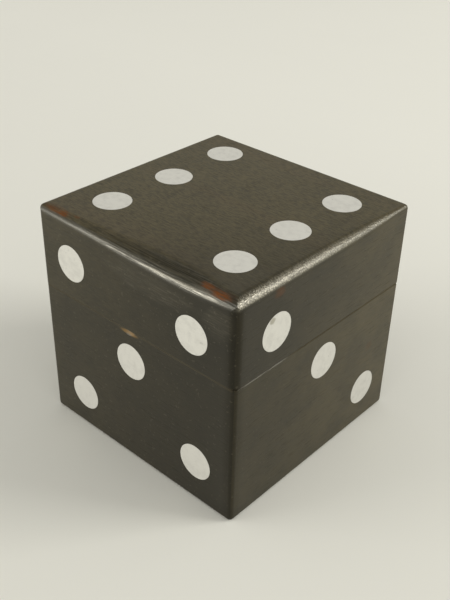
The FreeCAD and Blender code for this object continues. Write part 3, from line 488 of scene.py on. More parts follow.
class Ebonised(Finish):
    """Wood stained almost black, worn by hands and darkened with painted shade. Each step adds one layer to
    a colour.
    """

    def __init__(self, wood, name, along):
        super().__init__(name)
        self.wood = wood
        self.draw_patterns(along)
        self.measure_places()

    def draw_patterns(self, along):
        """The grain, the clouds of stain and the fine lines of wear."""
        wood = self.wood
        grain = self.stretched(along, wood.grain_stretch)
        flecked = self.stretched(along, wood.fleck_stretch)
        scratches = self.noise(self.mapped(0.05, 1, 1), wood.scratch, detail=2)
        self.russet = self.noise(grain, wood.band, detail=3, roughness=0.55, rise=(0.46, 0.74))
        self.streaks = self.noise(grain, wood.streak, detail=4, roughness=0.65)
        self.pores = self.noise(grain, wood.pore, detail=1.5, rise=(0.56, 0.70))
        self.mottle = self.noise(flecked, wood.mottle, detail=4, roughness=0.7, rise=(0.30, 0.70))
        self.cloud = self.noise(self.place, wood.band, detail=3)
        self.dust = self.noise(self.place, wood.dust, detail=0, rise=(0.75, 0.79))
        self.speckle = self.noise(self.mapped(0.6, 1, 1), wood.speckle, detail=1, rise=(0.38, 0.64))
        self.rubs = self.noise(self.mapped(0.03, 1, 1), wood.speckle, detail=3, rise=(0.33, 0.61))
        self.scuffs = self.spread(self.step(scratches, 0.48, 0.74), LINE_COVER)
        self.fibres = self.spread(self.step(scratches, 0.62, 0.44), LINE_COVER)

    def measure_places(self):
        """How near a point lies to the die's faces, edges, corner and seam."""
        to_side = self.minus(HALF_WIDTH, self.size(self.x))
        to_end = self.minus(HALF_DEPTH, self.size(self.y))
        self.to_top = self.minus(TOP, self.z)
        to_flat = self.math("MINIMUM", self.z, self.to_top)
        lesser = self.math("MINIMUM", to_side, to_end)
        upright = self.most(to_side, to_end)
        face = self.math("MINIMUM", lesser, to_flat)
        edge = self.most(lesser, self.math("MINIMUM", upright, to_flat))
        self.bare = self.product(self.step(face, *BARE_DEPTH), self.step(edge, *BARE_EDGE))

        below = self.step(self.to_top, *BELOW_ROUND)
        upright_round = self.product(self.step(upright, *UPRIGHT_ROUND), below)
        self.diagonal = self.minus(self.x, self.y)
        # Painted shade: the upright edge at the front right corner, darkened towards black.
        self.corner = self.product(upright_round, self.step(self.diagonal, *FRONT_CORNER))
        self.top_round = self.product(self.step(face, *ROUND_DEPTH), self.step(self.to_top, *ROUND_HEIGHT),
                                      self.minus(1.0, upright_round))
        self.to_right = self.step(self.sum(self.x, self.y), *RIGHT_OF_CORNER)

        off_seam = self.size(self.minus(self.z, SEAM))
        self.dull = self.product(self.step(off_seam, *SEAM_LINE), self.step(face, *SEAM_DEPTH),
                                 self.minus(1.0, self.near(*BRIGHT_SEAM)))
        self.nick = self.near(*NICK)

    def stain(self, depth, corner_shade_depth, figure):
        """The stain with painted shade: darker on the upright boards and towards the front right corner,
        near black on the upright edge there, and a painted dark reflection along the rounded front edge.
        """
        wood = self.wood
        veil = self.blend(VEIL_STREAKS, self.cloud, self.streaks)
        tone = self.blend(figure, veil, self.mottle)
        colour = self.mix(self.step(tone, *TONE_RISE), wood.ebony, wood.umber)
        colour = self.over(colour, wood.russet, self.russet, RUSSET_COVER * figure)
        colour = self.over(colour, wood.ebony, self.pores, PORE_COVER)
        # Painted shade: each board darker by its own depth, and more so towards the front right corner.
        board_shade = self.spread(self.step(self.diagonal, *CORNER_SHADE_RUN), (depth, corner_shade_depth))
        dark = self.most(self.product(self.corner, UPRIGHT_EDGE_SHADE_COVER), board_shade)
        colour = self.over(colour, wood.painted_shade, dark)
        # Painted reflection: the upper part of the rounded front edge darkened as if it mirrored a dim
        # ceiling.
        roll_shade = self.product(self.top_round, self.minus(1.0, self.to_right),
                              self.step(self.to_top, *ROLL_SHADE_HEIGHT))
        return self.over(colour, wood.painted_shade, roll_shade, self.spread(self.x, ROLL_SHADE_COVER, ROLL_SHADE_RUN))

    def scuff(self, colour):
        """Fine scratches in a few places, and faint marks all over."""
        for middle, reach, strength in SCUFFED_PLACES:
            patch = self.near(middle, reach, self.cloud, SCUFF_RAG)
            colour = self.over(colour, self.wood.scuff, self.scuffs, patch, strength)
        return self.over(colour, self.wood.scuff, self.dust, DUST_COVER)

    def rub(self, colour):
        """Red wood in ragged spots on the edges, which are kept because they have little gloss."""
        ragged = self.blend(RAGGED_STREAKS, self.cloud, self.streaks)
        spots = []
        for middle, reach, strength in RUBBED_SPOTS:
            patch = self.near(middle, reach, ragged, RUBBED_RAG)
            spots.append(self.product(patch, self.fibres, strength))
            colour = self.over(colour, self.wood.rubbed, spots[-1])
        self.red = self.most(*spots)
        return colour

    def lay_bare(self, colour):
        """Bare wood on the inner faces and in the nick, and a pale line along the seam: dust in the groove
        that also lifts its shade as painted light.
        """
        wood = self.wood
        inside = self.mix(self.step(self.streaks, *INSIDE_RISE), wood.pale_line, wood.inside)
        colour = self.over(colour, inside, self.bare)
        colour = self.over(colour, wood.nick, self.nick)
        # Dust and painted light: the pale line lifts the shade in the seam's groove.
        seam_dust_and_light = self.spread(self.step(self.x, *RIGHT_FACE), SEAM_DUST_AND_LIGHT_COVER)
        return self.over(colour, wood.scuff, self.dull, seam_dust_and_light)

    def shine(self, colour):
        """The satin surface, burnished along the rounded top edges."""
        wood = self.wood
        on_front = self.product(
            self.spread(self.x, FRONT_SHINE, FRONT_SHINE_RUN),
            self.spread(self.rubs, RUB_SHINE),
            self.spread(self.x, FRONT_SHINE_FALL, FRONT_SHINE_END),
        )
        on_right = self.product(
            self.spread(self.y, RIGHT_SHINE, RIGHT_SHINE_RUN),
            self.spread(self.speckle, SPECKLE_SHINE),
        )
        burnish = self.product(self.top_round, self.blend(self.to_right, on_front, on_right))
        rough = self.sum(
            wood.roughness,
            self.spread(self.streaks, (-STREAK_ROUGHNESS, STREAK_ROUGHNESS)),
            self.product(self.pores, PORE_ROUGHNESS),
            self.product(burnish, self.spread(self.to_right, BURNISHED_ROUGHNESS)),
            self.product(self.most(self.bare, self.dull), BARE_ROUGHNESS),
            self.product(self.step(self.to_top, *FLAT_TOP), FLAT_TOP_ROUGHNESS),
        )
        gloss = self.sum(
            wood.gloss,
            self.product(burnish, BURNISHED_GLOSS),
            self.product(self.most(self.dull, self.nick), DULL_GLOSS),
            self.product(self.corner, CORNER_GLOSS),
        )
        grain = self.minus(self.product(self.streaks, STREAK_RELIEF), self.pores)
        rubs = self.product(self.rubs, RUB_RELIEF)
        specks = self.sum(self.product(self.speckle, self.to_right), rubs)
        normal = self.bump(grain, wood.pore_depth)
        index = self.product(burnish, self.spread(self.to_right, BURNISHED_INDEX))
        return self.surface({
            "Base Color": colour,
            "Roughness": rough,
            "Normal": self.bump(self.product(specks, self.top_round), wood.speckle_depth, normal),
            "IOR": self.sum(PLAIN_INDEX, index),
            "Specular IOR Level": self.product(gloss, self.spread(self.red, (1.0, RED_GLOSS))),
            "Specular Tint": self.mix(burnish, wood.oil, wood.wax),
        })


def ebonised(wood, name, along, depth, corner_shade_depth, figure):
    """The finish of one board, layer by layer."""
    board = Ebonised(wood, name, along)
    colour = board.stain(depth, corner_shade_depth, figure)
    colour = board.scuff(colour)
    colour = board.rub(colour)
    colour = board.lay_bare(colour)
    return board.shine(colour)


def bare_wood(wood, name, along):
    """Pale sanded wood with fine lines."""
    finish = Finish(name)
    grain = finish.stretched(along, wood.grain_stretch)
    bands = finish.noise(grain, wood.band, detail=4, roughness=0.6, distortion=0.4)
    lines = finish.noise(grain, wood.streak, detail=4, roughness=0.65)
    pores = finish.noise(grain, wood.pore, detail=1.5, rise=(0.60, 0.72))
    colour = finish.mix(finish.step(bands, 0.35, 0.70), wood.pale, wood.pale_line)
    colour = finish.over(colour, wood.pale_line, finish.step(lines, 0.45, 0.75), 0.5)
    colour = finish.over(colour, wood.inside, pores, 0.4)
    rough = finish.spread(lines, to=(0.52, 0.70))
    normal = finish.bump(finish.minus(lines, pores), wood.pore_depth)
    return finish.surface({"Base Color": colour, "Roughness": rough, "Normal": normal})


# Middle and reach of the brown stain in the lid's pip on the right.
PIP_STAIN = ((0.0400, -0.0250, 0.0648), (0.0012, 0.0016, 0.0012))
PIP_STAIN_COVER = 0.65
# Painted shade on the pips of the upright faces, darker towards the bottom, at two heights.
PIP_SHADE_COVER = (0.36, 0.14)
PIP_SHADE_HEIGHTS = (10 * MM, 70 * MM)
BELOW_TOP = (TOP, TOP - 1.0 * MM)
PIP_RELIEF = 0.008 * MM


def bone_inlay(inlay):
    """Pale ground discs with fine flecks, faint streaks, one brown stain and painted shade towards the
    bottom of the upright faces.
    """
    finish = Finish("pip_inlay")
    flecks = finish.noise(finish.place, size=0.22 * MM, detail=2, rise=(0.66, 0.76))
    specks = finish.noise(finish.place, size=1.3 * MM, detail=2, rise=(0.70, 0.76))
    cloud = finish.noise(finish.place, size=2.4 * MM, detail=4, roughness=0.6)
    streaks = finish.noise(finish.mapped(1, 6, 6), size=2.0 * MM, detail=3, rise=(0.52, 0.75))
    colour = inlay.bone
    marks = ((finish.step(cloud, 0.42, 0.72), 0.22), (streaks, 0.10), (flecks, 0.45), (specks, 0.40))
    for mark, strength in marks:
        colour = finish.over(colour, inlay.fleck_and_shade, mark, strength)
    # Painted shade: the pips on the upright faces grow darker towards the floor.
    low_pip_shade = finish.spread(finish.z, PIP_SHADE_COVER, PIP_SHADE_HEIGHTS)
    colour = finish.over(colour, inlay.fleck_and_shade, low_pip_shade, finish.step(finish.z, *BELOW_TOP))
    colour = finish.over(colour, inlay.stain, finish.near(*PIP_STAIN, cloud, rag=0.9), PIP_STAIN_COVER)
    rough = finish.sum(inlay.roughness, finish.spread(cloud, to=(-0.08, 0.10)))
    normal = finish.bump(finish.minus(finish.product(cloud, 0.5), flecks), PIP_RELIEF)
    return finish.surface({"Base Color": colour, "Roughness": rough, "Normal": normal, "IOR": PLAIN_INDEX})


FINE_RELIEF = 0.004 * MM


def bare_metal(finish, colour, film, lines, film_roughness, line_roughness):
    """The surface of a metal that a film and fine lines make rougher."""
    rough = finish.sum(finish.spread(film, film_roughness), finish.spread(lines, line_roughness))
    normal = finish.bump(lines, FINE_RELIEF)
    return finish.surface({"Base Color": colour, "Metallic": 1.0, "Roughness": rough, "Normal": normal})


def tarnished_brass(hardware):
    """Brass under a brown film, with lines from the file."""
    finish = Finish("hinge_brass")
    film = finish.noise(finish.place, size=3.0 * MM, detail=5, roughness=0.65)
    lines = finish.noise(finish.mapped(0.05, 1, 1), size=0.16 * MM, detail=2)
    colour = finish.mix(finish.step(film, 0.42, 0.72), hardware.brass, hardware.tarnish)
    return bare_metal(finish, colour, film, lines, film_roughness=(0.24, 0.46), line_roughness=(-0.05, 0.05))


def drawn_wire(hardware):
    """Grey steel with a thin film in places."""
    finish = Finish("spring_steel")
    film = finish.noise(finish.place, size=2.0 * MM, detail=4)
    fine = finish.noise(finish.place, size=0.18 * MM, detail=2)
    colour = finish.over(hardware.steel, hardware.tarnish, finish.step(film, 0.5, 0.75), 0.6)
    return bare_metal(finish, colour, film, fine, film_roughness=(0.22, 0.40), line_roughness=(-0.04, 0.04))


class Paint(Finish):
    """Satin paint on turned wood: uneven coats, faint rings from the brush, small chips."""

    SHADE = (0.0, 0.0, 0.0)
    RELIEF = 0.02 * MM
    GLAZE = {"Coat Weight": 0.25, "Coat Roughness": 0.2}

    def coat(self, colour, wood):
        """The painted surface in a colour, which is an output or three numbers."""
        uneven = self.noise(self.place, size=2.6 * MM, detail=4, roughness=0.6)
        rings = self.noise(self.mapped(0.6, 0.6, 7), size=1.2 * MM, detail=3)
        chips = self.noise(self.place, size=1.5 * MM, detail=5, roughness=0.7, rise=(0.70, 0.72))
        shaded = self.mix(self.spread(uneven, to=(0.0, 0.30), over=(0.35, 0.75)), colour, self.SHADE)
        painted = self.over(shaded, wood.pale, chips, 0.8)
        rough = self.sum(self.spread(uneven, to=(0.30, 0.42)), self.product(chips, 0.25))
        normal = self.bump(self.minus(self.product(rings, 0.5), chips), self.RELIEF)
        return self.surface({"Base Color": painted, "Roughness": rough, "Normal": normal, **self.GLAZE})

    def in_front(self):
        return self.math("LESS_THAN", self.y, 0.0)

    def offsets(self, across, up):
        """How far a point lies from a place on either half of the face, sideways and upwards."""
        sideways = self.minus(self.size(self.x), across)
        return sideways, self.minus(self.z, HEAD_MIDDLE + up)

    def disc(self, across, up, half_width, half_height, soft=0.12):
        """1 inside an ellipse that is painted on both halves of the face."""
        sideways, upwards = self.offsets(across, up)
        sideways = self.math("DIVIDE", sideways, half_width)
        upwards = self.math("DIVIDE", upwards, half_height)
        far = self.hypot(sideways, upwards)
        return self.product(self.step(far, 1 + soft, 1 - soft), self.in_front())

    def arc(self, across, up, radius, half_line, low, high, soft=0.25):
        """1 on a painted arc: the part of a ring whose height lies between two levels."""
        from_middle = self.hypot(*self.offsets(across, up))
        off = self.size(self.minus(from_middle, radius))
        line = self.step(off, half_line * (1 + soft), half_line * (1 - soft))
        rise = self.minus(self.z, HEAD_MIDDLE)
        within = self.product(self.step(rise, low - half_line, low + half_line),
                              self.step(rise, high + half_line, high - half_line))
        return self.product(line, within, self.in_front())


# Spots on the face: across from its middle line, up from the head's middle, half width and half height.
CHEEK = (5.4 * MM, -3.0 * MM, 2.5 * MM, 2.3 * MM)
EYE = (3.7 * MM, 1.2 * MM, 1.35 * MM, 1.8 * MM)
PUPIL = (3.6 * MM, 1.0 * MM, 0.75 * MM, 0.95 * MM)
GLINT = (3.3 * MM, 1.4 * MM, 0.22 * MM, 0.22 * MM)
# Lines on the face: middle of the arc, its radius, half the line's width, and its lowest and highest level.
BROW = (3.8 * MM, 0.9 * MM, 2.7 * MM, 0.28 * MM, 2.4 * MM, 4.6 * MM)
SMILE = (0.0, -0.4 * MM, 5.2 * MM, 0.38 * MM, -6.4 * MM, -3.9 * MM)
BLUSH_COVER = 0.55


def face_paint(figure, wood):
    """A plain doll's face: eyes with brows, round cheeks and a small smile."""
    paint = Paint("face_paint")
    colour = paint.over(figure.skin, figure.blush, paint.disc(*CHEEK, soft=0.6), BLUSH_COVER)
    colour = paint.over(colour, figure.eye_white, paint.disc(*EYE))
    colour = paint.over(colour, figure.ink, paint.disc(*PUPIL))
    colour = paint.over(colour, figure.eye_white, paint.disc(*GLINT))
    colour = paint.over(colour, figure.ink, paint.arc(*BROW))
    colour = paint.over(colour, figure.blush, paint.arc(*SMILE))
    return paint.coat(colour, wood)


# Where the painted trim comes in: the coat's hem and front line, the cap's rim and the ruff's edge.
HEM_TOP = (TORSO_LOW.z + 1.75 * MM, TORSO_LOW.z + 1.55 * MM)
HEM_FOOT = (TORSO_LOW.z + 0.70 * MM, TORSO_LOW.z + 0.85 * MM)
COAT_LINE = (0.22 * MM, 0.12 * MM)
COAT_LINE_TOP = (TORSO_HIGH.z + 0.1 * MM, TORSO_HIGH.z)
COAT_LINE_COVER = 0.85
CAP_RIM_TOP = (CAP_LOW.z + 2.3 * MM, CAP_LOW.z + 2.1 * MM)
CAP_RIM_INNER = (HEAD_RADIUS - 1.2 * MM, HEAD_RADIUS - 1.0 * MM)
RUFF_LINE = (RUFF_HIGH.x - 0.9 * MM, RUFF_HIGH.x - 0.7 * MM)


def coat_paint(figure, wood):
    """Red with a yellow hem and a dark line down the front."""
    paint = Paint("red_paint")
    hem = paint.product(paint.step(paint.z, *HEM_TOP), paint.step(paint.z, *HEM_FOOT))
    opening = paint.product(paint.step(paint.size(paint.x), *COAT_LINE),
                            paint.step(paint.z, *COAT_LINE_TOP), paint.in_front())
    colour = paint.over(figure.coat, figure.trim, hem)
    colour = paint.over(colour, figure.ink, opening, COAT_LINE_COVER)
    return paint.coat(colour, wood)


def cap_paint(figure, wood):
    """Green, with the rolled rim in yellow."""
    paint = Paint("green_paint")
    out = paint.hypot(paint.x, paint.y)
    rim = paint.product(paint.step(paint.z, *CAP_RIM_TOP), paint.step(out, *CAP_RIM_INNER))
    return paint.coat(paint.over(figure.cap, figure.trim, rim), wood)


def ruff_paint(figure, wood):
    """Cream, with a red line along the edge."""
    paint = Paint("cream_paint")
    edge = paint.step(paint.hypot(paint.x, paint.y), *RUFF_LINE)
    return paint.coat(paint.over(figure.cream, figure.coat, edge), wood)


def only(piece):
    """Select one object alone and make it the active one."""
    bpy.ops.object.select_all(action="DESELECT")
    piece.select_set(True)
    bpy.context.view_layer.objects.active = piece


def new_primitive(add, name, **settings):
    """Add a primitive with nothing else selected, and put its place into its mesh."""
    bpy.ops.object.select_all(action="DESELECT")
    add(**settings)
    piece = bpy.context.active_object
    piece.name = name
    piece.data.name = name
    bpy.ops.object.transform_apply(location=True, rotation=True, scale=True)
    return piece


def edit(piece, mode):
    only(piece)
    bpy.ops.object.mode_set(mode="EDIT")
    bpy.ops.mesh.select_mode(type=mode)


def done():
    bpy.ops.object.mode_set(mode="OBJECT")


# How far a face's normal has to rise for the face to count as looking up.
UPRIGHT = 0.9


def select_facing(piece, way):
    """Select in edit mode the faces that look up, or down where the way is -1."""
    bpy.ops.mesh.select_all(action="DESELECT")
    bpy.ops.object.mode_set(mode="OBJECT")
    for face in piece.data.polygons:
        face.select = face.normal.z * way > UPRIGHT
    bpy.ops.object.mode_set(mode="EDIT")


def extrude(height):
    bpy.ops.mesh.extrude_region_move(TRANSFORM_OT_translate={"value": (0, 0, height)})


def narrow(share):
    bpy.ops.transform.resize(value=(share, share, 1))


def apply_modifier(piece, kind, **settings):
    only(piece)
    modifier = piece.modifiers.new(kind.title(), kind)
    for name, value in settings.items():
        setattr(modifier, name, value)
    bpy.ops.object.modifier_apply(modifier=modifier.name)


def bevel(piece, width, segments, degrees):
    """Round the edges that are sharper than an angle."""
    apply_modifier(piece, "BEVEL", width=width, segments=segments, limit_method="ANGLE",
                   angle_limit=math.radians(degrees))


def smooth(piece, degrees=35):
    only(piece)
    bpy.ops.object.shade_smooth_by_angle(angle=math.radians(degrees))


def copy_of(piece, name, matrix):
    """A copy with its own mesh, moved inside that mesh."""
    copy = piece.copy()
    copy.data = piece.data.copy()
    copy.name = name
    copy.data.name = name
    copy.data.transform(matrix)
    bpy.context.scene.collection.objects.link(copy)
    return copy


def remove(piece):
    mesh = piece.data
    bpy.data.objects.remove(piece)
    bpy.data.meshes.remove(mesh)


SCREW_SIDES = 32
# Shares of a screw's length in its point, and of its width at the tip.
POINT_SHARE = 0.2
TIP_SHARE = 0.3
SCREW_BEVEL = 0.04 * MM
# The turn from one slot to the next, so that no two lie alike.
SLOT_TURN = math.radians(137.5)


def slotted_screw(hardware, screw_length):
    """A countersunk screw whose head lies at the origin and looks up."""
    head = hardware.screw_head / 2
    head_depth = hardware.screw_head_depth
    screw = new_primitive(bpy.ops.mesh.primitive_cylinder_add, "screw", vertices=SCREW_SIDES, radius=head,
                          depth=head_depth, location=(0, 0, -head_depth / 2))
    edit(screw, "FACE")
    select_facing(screw, -1)
    narrow(hardware.screw_shank / hardware.screw_head)
    extrude((POINT_SHARE - 1) * screw_length)
    extrude(-POINT_SHARE * screw_length)
    narrow(TIP_SHARE)
    done()
    # The cutter runs out past both sides of the head, and half of it lies above the head's face.
    slot = new_primitive(bpy.ops.mesh.primitive_cube_add, "slot", size=1, location=(0, 0, 0),
                         scale=(3 * head, hardware.screw_slot, 2 * hardware.screw_slot_depth))
    apply_modifier(screw, "BOOLEAN", operation="DIFFERENCE", object=slot, solver="EXACT")
    remove(slot)
    bevel(screw, SCREW_BEVEL, segments=2, degrees=40)
    smooth(screw)
    return screw


def make_screws(hardware, brass):
    """The eight hinge screws. Those of the lid look down from it when it is shut."""
    for half, looks_down in (("lid", True), ("base", False)):
        low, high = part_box(f"{half}_hinge_screws")
        leaf_low, leaf_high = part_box(f"{half}_hinge_leaf_right")
        master = slotted_screw(hardware, high.z - low.z - hardware.screw_head_depth)
        outer = high.x - hardware.screw_head / 2
        inner = leaf_low.x + leaf_high.x - outer
        over = Matrix.Rotation(math.pi if looks_down else 0, 4, "X")
        for number, x in enumerate((-outer, -inner, inner, outer), start=1):
            place = Matrix.Translation((x, (low.y + high.y) / 2, low.z if looks_down else high.z))
            slot_turn = Matrix.Rotation(SLOT_TURN * number, 4, "Z")
            screw = copy_of(master, f"{half}_screw_{number}", place @ over @ slot_turn)
            screw.data.materials.append(brass)
            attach(screw, half)
            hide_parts(f"{half}_hinge_screws")
        remove(master)


WIRE_SIDES = 16
STEPS_PER_TURN = 72
# Points nearer than this share of the wire's diameter become one.
MERGE_SHARE = 0.01


def make_spring(hardware, steel):
    """The coil spring as one wire between its seat and the figure."""
    low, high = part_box("spring")
    wire = hardware.spring_wire
    turns = hardware.spring_turns
    radius = high.x - wire / 2
    foot = low.z + wire / 2
    pitch = (high.z - low.z - wire) / turns
    spring = new_primitive(bpy.ops.mesh.primitive_circle_add, "coil_spring", vertices=WIRE_SIDES,
                           radius=wire / 2, location=(radius, 0, foot), rotation=(math.pi / 2, 0, 0))
    apply_modifier(spring, "SCREW", axis="Z", angle=math.tau, iterations=turns, screw_offset=pitch,
                   steps=STEPS_PER_TURN, render_steps=STEPS_PER_TURN, use_merge_vertices=False)
    edit(spring, "EDGE")
    bpy.ops.mesh.select_all(action="SELECT")
    bpy.ops.mesh.remove_doubles(threshold=wire * MERGE_SHARE)
    bpy.ops.mesh.select_all(action="DESELECT")
    bpy.ops.mesh.select_non_manifold(extend=False, use_boundary=True, use_wire=False, use_multi_face=False,
                                     use_non_contiguous=False, use_verts=False)
    bpy.ops.mesh.fill_holes(sides=0)
    bpy.ops.mesh.select_all(action="SELECT")
    bpy.ops.mesh.normals_make_consistent(inside=False)
    done()
    smooth(spring)
    spring.data.materials.append(steel)
    stretch_with_figure(spring, foot, pitch, turns)
    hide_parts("spring")


def stretch_with_figure(spring, foot, pitch, turns):
    """Move the wire's points to the heights of its middle line, bake the object's place into the mesh, then
    put the points back where they were.
    """
    places = [vertex.co.copy() for vertex in spring.data.vertices]
    for vertex in spring.data.vertices:
        part = math.atan2(vertex.co.y, vertex.co.x) / math.tau
        whole = round((vertex.co.z - foot) / pitch - part)
        vertex.co.z = foot + pitch * min(max(whole + part, 0), turns)
    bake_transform(spring)
    for vertex, place in zip(spring.data.vertices, places):
        vertex.co = place
    spring.data.update()


RUFF_RINGS = 7
STEPS_PER_PLEAT = 10
# The ruff's hole as a share of the coat's width, and how soon the folds reach their full height.
RUFF_HOLE = 0.34
FOLD_GAIN = 1.3


def make_ruff(figure, paint):
    """A pleated ruff: a flat ring, folded up and down more and more towards its edge."""
    outer = RUFF_HIGH.x
    inner = TORSO_HIGH.x * RUFF_HOLE
    middle = (RUFF_LOW.z + RUFF_HIGH.z) / 2
    swing = (RUFF_HIGH.z - RUFF_LOW.z) / 2 - figure.cloth / 2
    ruff = new_primitive(bpy.ops.mesh.primitive_circle_add, "pleated_ruff",
                         vertices=figure.pleats * STEPS_PER_PLEAT, radius=outer, location=(0, 0, middle))
    radii = [outer + (inner - outer) * ring / RUFF_RINGS for ring in range(RUFF_RINGS + 1)]
    edit(ruff, "EDGE")
    bpy.ops.mesh.select_all(action="SELECT")
    for before, after in zip(radii, radii[1:]):
        bpy.ops.mesh.extrude_edges_move()
        narrow(after / before)
    done()
    for vertex in ruff.data.vertices:
        out = math.hypot(vertex.co.x, vertex.co.y)
        share = (out - inner) / (outer - inner)
        fold = math.sin(figure.pleats * math.atan2(vertex.co.y, vertex.co.x))
        vertex.co.z += swing * fold * min(1.0, FOLD_GAIN * share)
    edit(ruff, "FACE")
    bpy.ops.mesh.select_all(action="SELECT")
    bpy.ops.mesh.normals_make_consistent(inside=False)
    done()
    apply_modifier(ruff, "SOLIDIFY", thickness=figure.cloth, offset=0)
    smooth(ruff, degrees=60)
    ruff.data.materials.append(paint)
    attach(ruff, "jack")
    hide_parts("ruff")


BUTTON_SIDES = 28
BUTTON_BEVEL = 0.10 * MM
# The button's face from its edge inwards: shares of the radius, and how far the face is raised inside each.
BUTTON_RINGS = ((0.28, 0.0), (0.10, -0.14 * MM), (0.25, 0.10 * MM))
# Shares of the way from the coat's skirt to its neck, and of a button's height that its middle stands off.
BUTTON_PLACES = (0.16, 0.50)
BUTTON_STAND = 0.3
COAT_SKIRT = 1.8 * MM
COAT_NECK_RADIUS = 7.5 * MM


def coat_button(figure):
    """A domed button with a rim, lying at the origin and looking up."""
    radius = figure.button / 2
    button = new_primitive(bpy.ops.mesh.primitive_cylinder_add, "button", vertices=BUTTON_SIDES,
                           radius=radius, depth=figure.button_height, location=(0, 0, 0))
    edit(button, "FACE")
    select_facing(button, 1)
    for share, rise in BUTTON_RINGS:
        bpy.ops.mesh.inset(thickness=radius * share, depth=rise)
    done()
    bevel(button, BUTTON_BEVEL, segments=3, degrees=30)
    smooth(button)
    return button


def make_buttons(figure, brass):
    """Buttons down the front of the coat, each let a little into its slope."""
    master = coat_button(figure)
    skirt = Vector((0, -TORSO_HIGH.x, TORSO_LOW.z + COAT_SKIRT))
    neck = Vector((0, -COAT_NECK_RADIUS, TORSO_HIGH.z))
    slope = (neck - skirt).normalized()
    outwards = Vector((0, -slope.z, slope.y))
    turn = outwards.to_track_quat("Z", "Y").to_matrix().to_4x4()
    for number, share in enumerate(BUTTON_PLACES, start=1):
        place = skirt.lerp(neck, share) + outwards * figure.button_height * BUTTON_STAND
        button = copy_of(master, f"coat_button_{number}", Matrix.Translation(place) @ turn)
        button.data.materials.append(brass)
        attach(button, "jack")
    remove(master)


def outwards_from_box(azimuth, elevation):
    """A direction away from the die; azimuth 0 is straight in front of the five-pip face."""
    flat = math.cos(elevation)
    return Vector((math.sin(azimuth) * flat, -math.cos(azimuth) * flat, math.sin(elevation)))


def make_lamp(stage, name, away, size, energy):
    """A soft lamp that shines at the middle of the die."""
    middle = Vector((0, 0, TOP / 2))
    bpy.ops.object.select_all(action="DESELECT")
    bpy.ops.object.light_add(type="AREA", location=middle + away * stage.lamp_distance)
    lamp = bpy.context.active_object
    lamp.name = name
    lamp.data.shape = "RECTANGLE"
    lamp.data.size, lamp.data.size_y = size
    lamp.data.energy = energy
    lamp.data.color = stage.daylight
    lamp.rotation_mode = "QUATERNION"
    lamp.rotation_quaternion = away.to_track_quat("Z", "Y")


# The backdrop is pale up to the first of these heights, and the dim ceiling starts at the second.
BACKDROP_TOP = math.radians(29)
CEILING_EDGE = math.radians(52)


def make_world(stage):
    """Plain light from all round. The camera and the gloss see the backdrop under a dim ceiling instead."""
    world = bpy.data.worlds.new("surround")
    bpy.context.scene.world = world
    nodes = Nodes(world)
    way = nodes.add("ShaderNodeTexCoord").outputs["Generated"]
    to_camera = outwards_from_box(stage.camera_azimuth, 0)
    side = nodes.add("ShaderNodeVectorMath", {0: way, 1: to_camera}, operation="DOT_PRODUCT")
    strength = nodes.sum(nodes.product(side.outputs["Value"], stage.ambient * stage.lean), stage.ambient)
    light = nodes.add("ShaderNodeBackground", {"Color": (*stage.daylight, 1.0), "Strength": strength})
    height = nodes.add("ShaderNodeSeparateXYZ", {0: way}).outputs["Z"]
    ceiling = nodes.spread(height, to=(0.0, 1.0), over=(math.sin(BACKDROP_TOP), math.sin(CEILING_EDGE)))
    room = nodes.mix(ceiling, stage.backdrop, stage.overhead)
    seen = nodes.add("ShaderNodeBackground", {"Color": room, "Strength": 1.0})
    rays = nodes.add("ShaderNodeLightPath").outputs
    looks = nodes.most(rays["Is Camera Ray"], rays["Is Glossy Ray"], rays["Is Transmission Ray"])
    choice = nodes.add("ShaderNodeMixShader", {0: looks, 1: light.outputs[0], 2: seen.outputs[0]})
    nodes.add("ShaderNodeOutputWorld", {"Surface": choice.outputs[0]})


FLOOR_SQUARES = 8
# From front to back, where the painted light on the paper starts to rise and where it is strongest.
FLOOR_LIGHT_FADE = (-0.14, 0.25)
FLOOR_CLOUD = 50 * MM
FLOOR_CLOUD_COVER = 0.03


def make_floor(stage):
    """A wide sheet of pale paper under the box, with painted light that makes it paler towards the back."""
    floor = new_primitive(bpy.ops.mesh.primitive_grid_add, "floor", x_subdivisions=FLOOR_SQUARES,
                          y_subdivisions=FLOOR_SQUARES, size=stage.floor_size, location=(0, 0, 0))
    finish = Finish("floor_paper")
    cloud = finish.noise(finish.place, FLOOR_CLOUD, detail=3)
    fibres = finish.noise(finish.place, size=0.3 * MM, detail=2)
    # Painted light: the paper turns paler from front to back.
    colour = finish.mix(finish.spread(finish.y, (0.0, 1.0), over=FLOOR_LIGHT_FADE), stage.floor, stage.far_floor_light)
    colour = finish.over(colour, stage.floor_shade, cloud, FLOOR_CLOUD_COVER)
    paper = finish.surface({"Base Color": colour, "Roughness": 0.90, "Specular IOR Level": 0.10,
                            "Normal": finish.bump(fibres, FINE_RELIEF)})
    floor.data.materials.append(paper)


CAMERA_NEAREST = 0.01


def make_camera(stage):
    """The camera where the picture was taken from."""
    round_box = Matrix.Rotation(stage.camera_azimuth, 4, "Z")
    down = Matrix.Rotation(math.pi / 2 - stage.camera_elevation, 4, "X")
    roll = Matrix.Rotation(stage.camera_roll, 4, "Z")
    bpy.ops.object.select_all(action="DESELECT")
    bpy.ops.object.camera_add()
    camera = bpy.context.active_object
    camera.matrix_world = Matrix.Translation(stage.camera_place) @ round_box @ down @ roll
    camera.data.lens = stage.camera_lens
    camera.data.clip_start = CAMERA_NEAREST
    bpy.context.scene.camera = camera


class DIEBOX_OT_boards(bpy.types.Operator):
    """Stain and wear the ten boards of the die, and paint shade into them"""

    bl_idname = "diebox.boards"
    bl_label = "Boards"

    def execute(self, context):
        wood = context.scene.diebox_wood
        for board, recipe in BOARDS.items():
            dress([board], ebonised(wood, f"ebonised_{board}", *recipe))
        return {"FINISHED"}


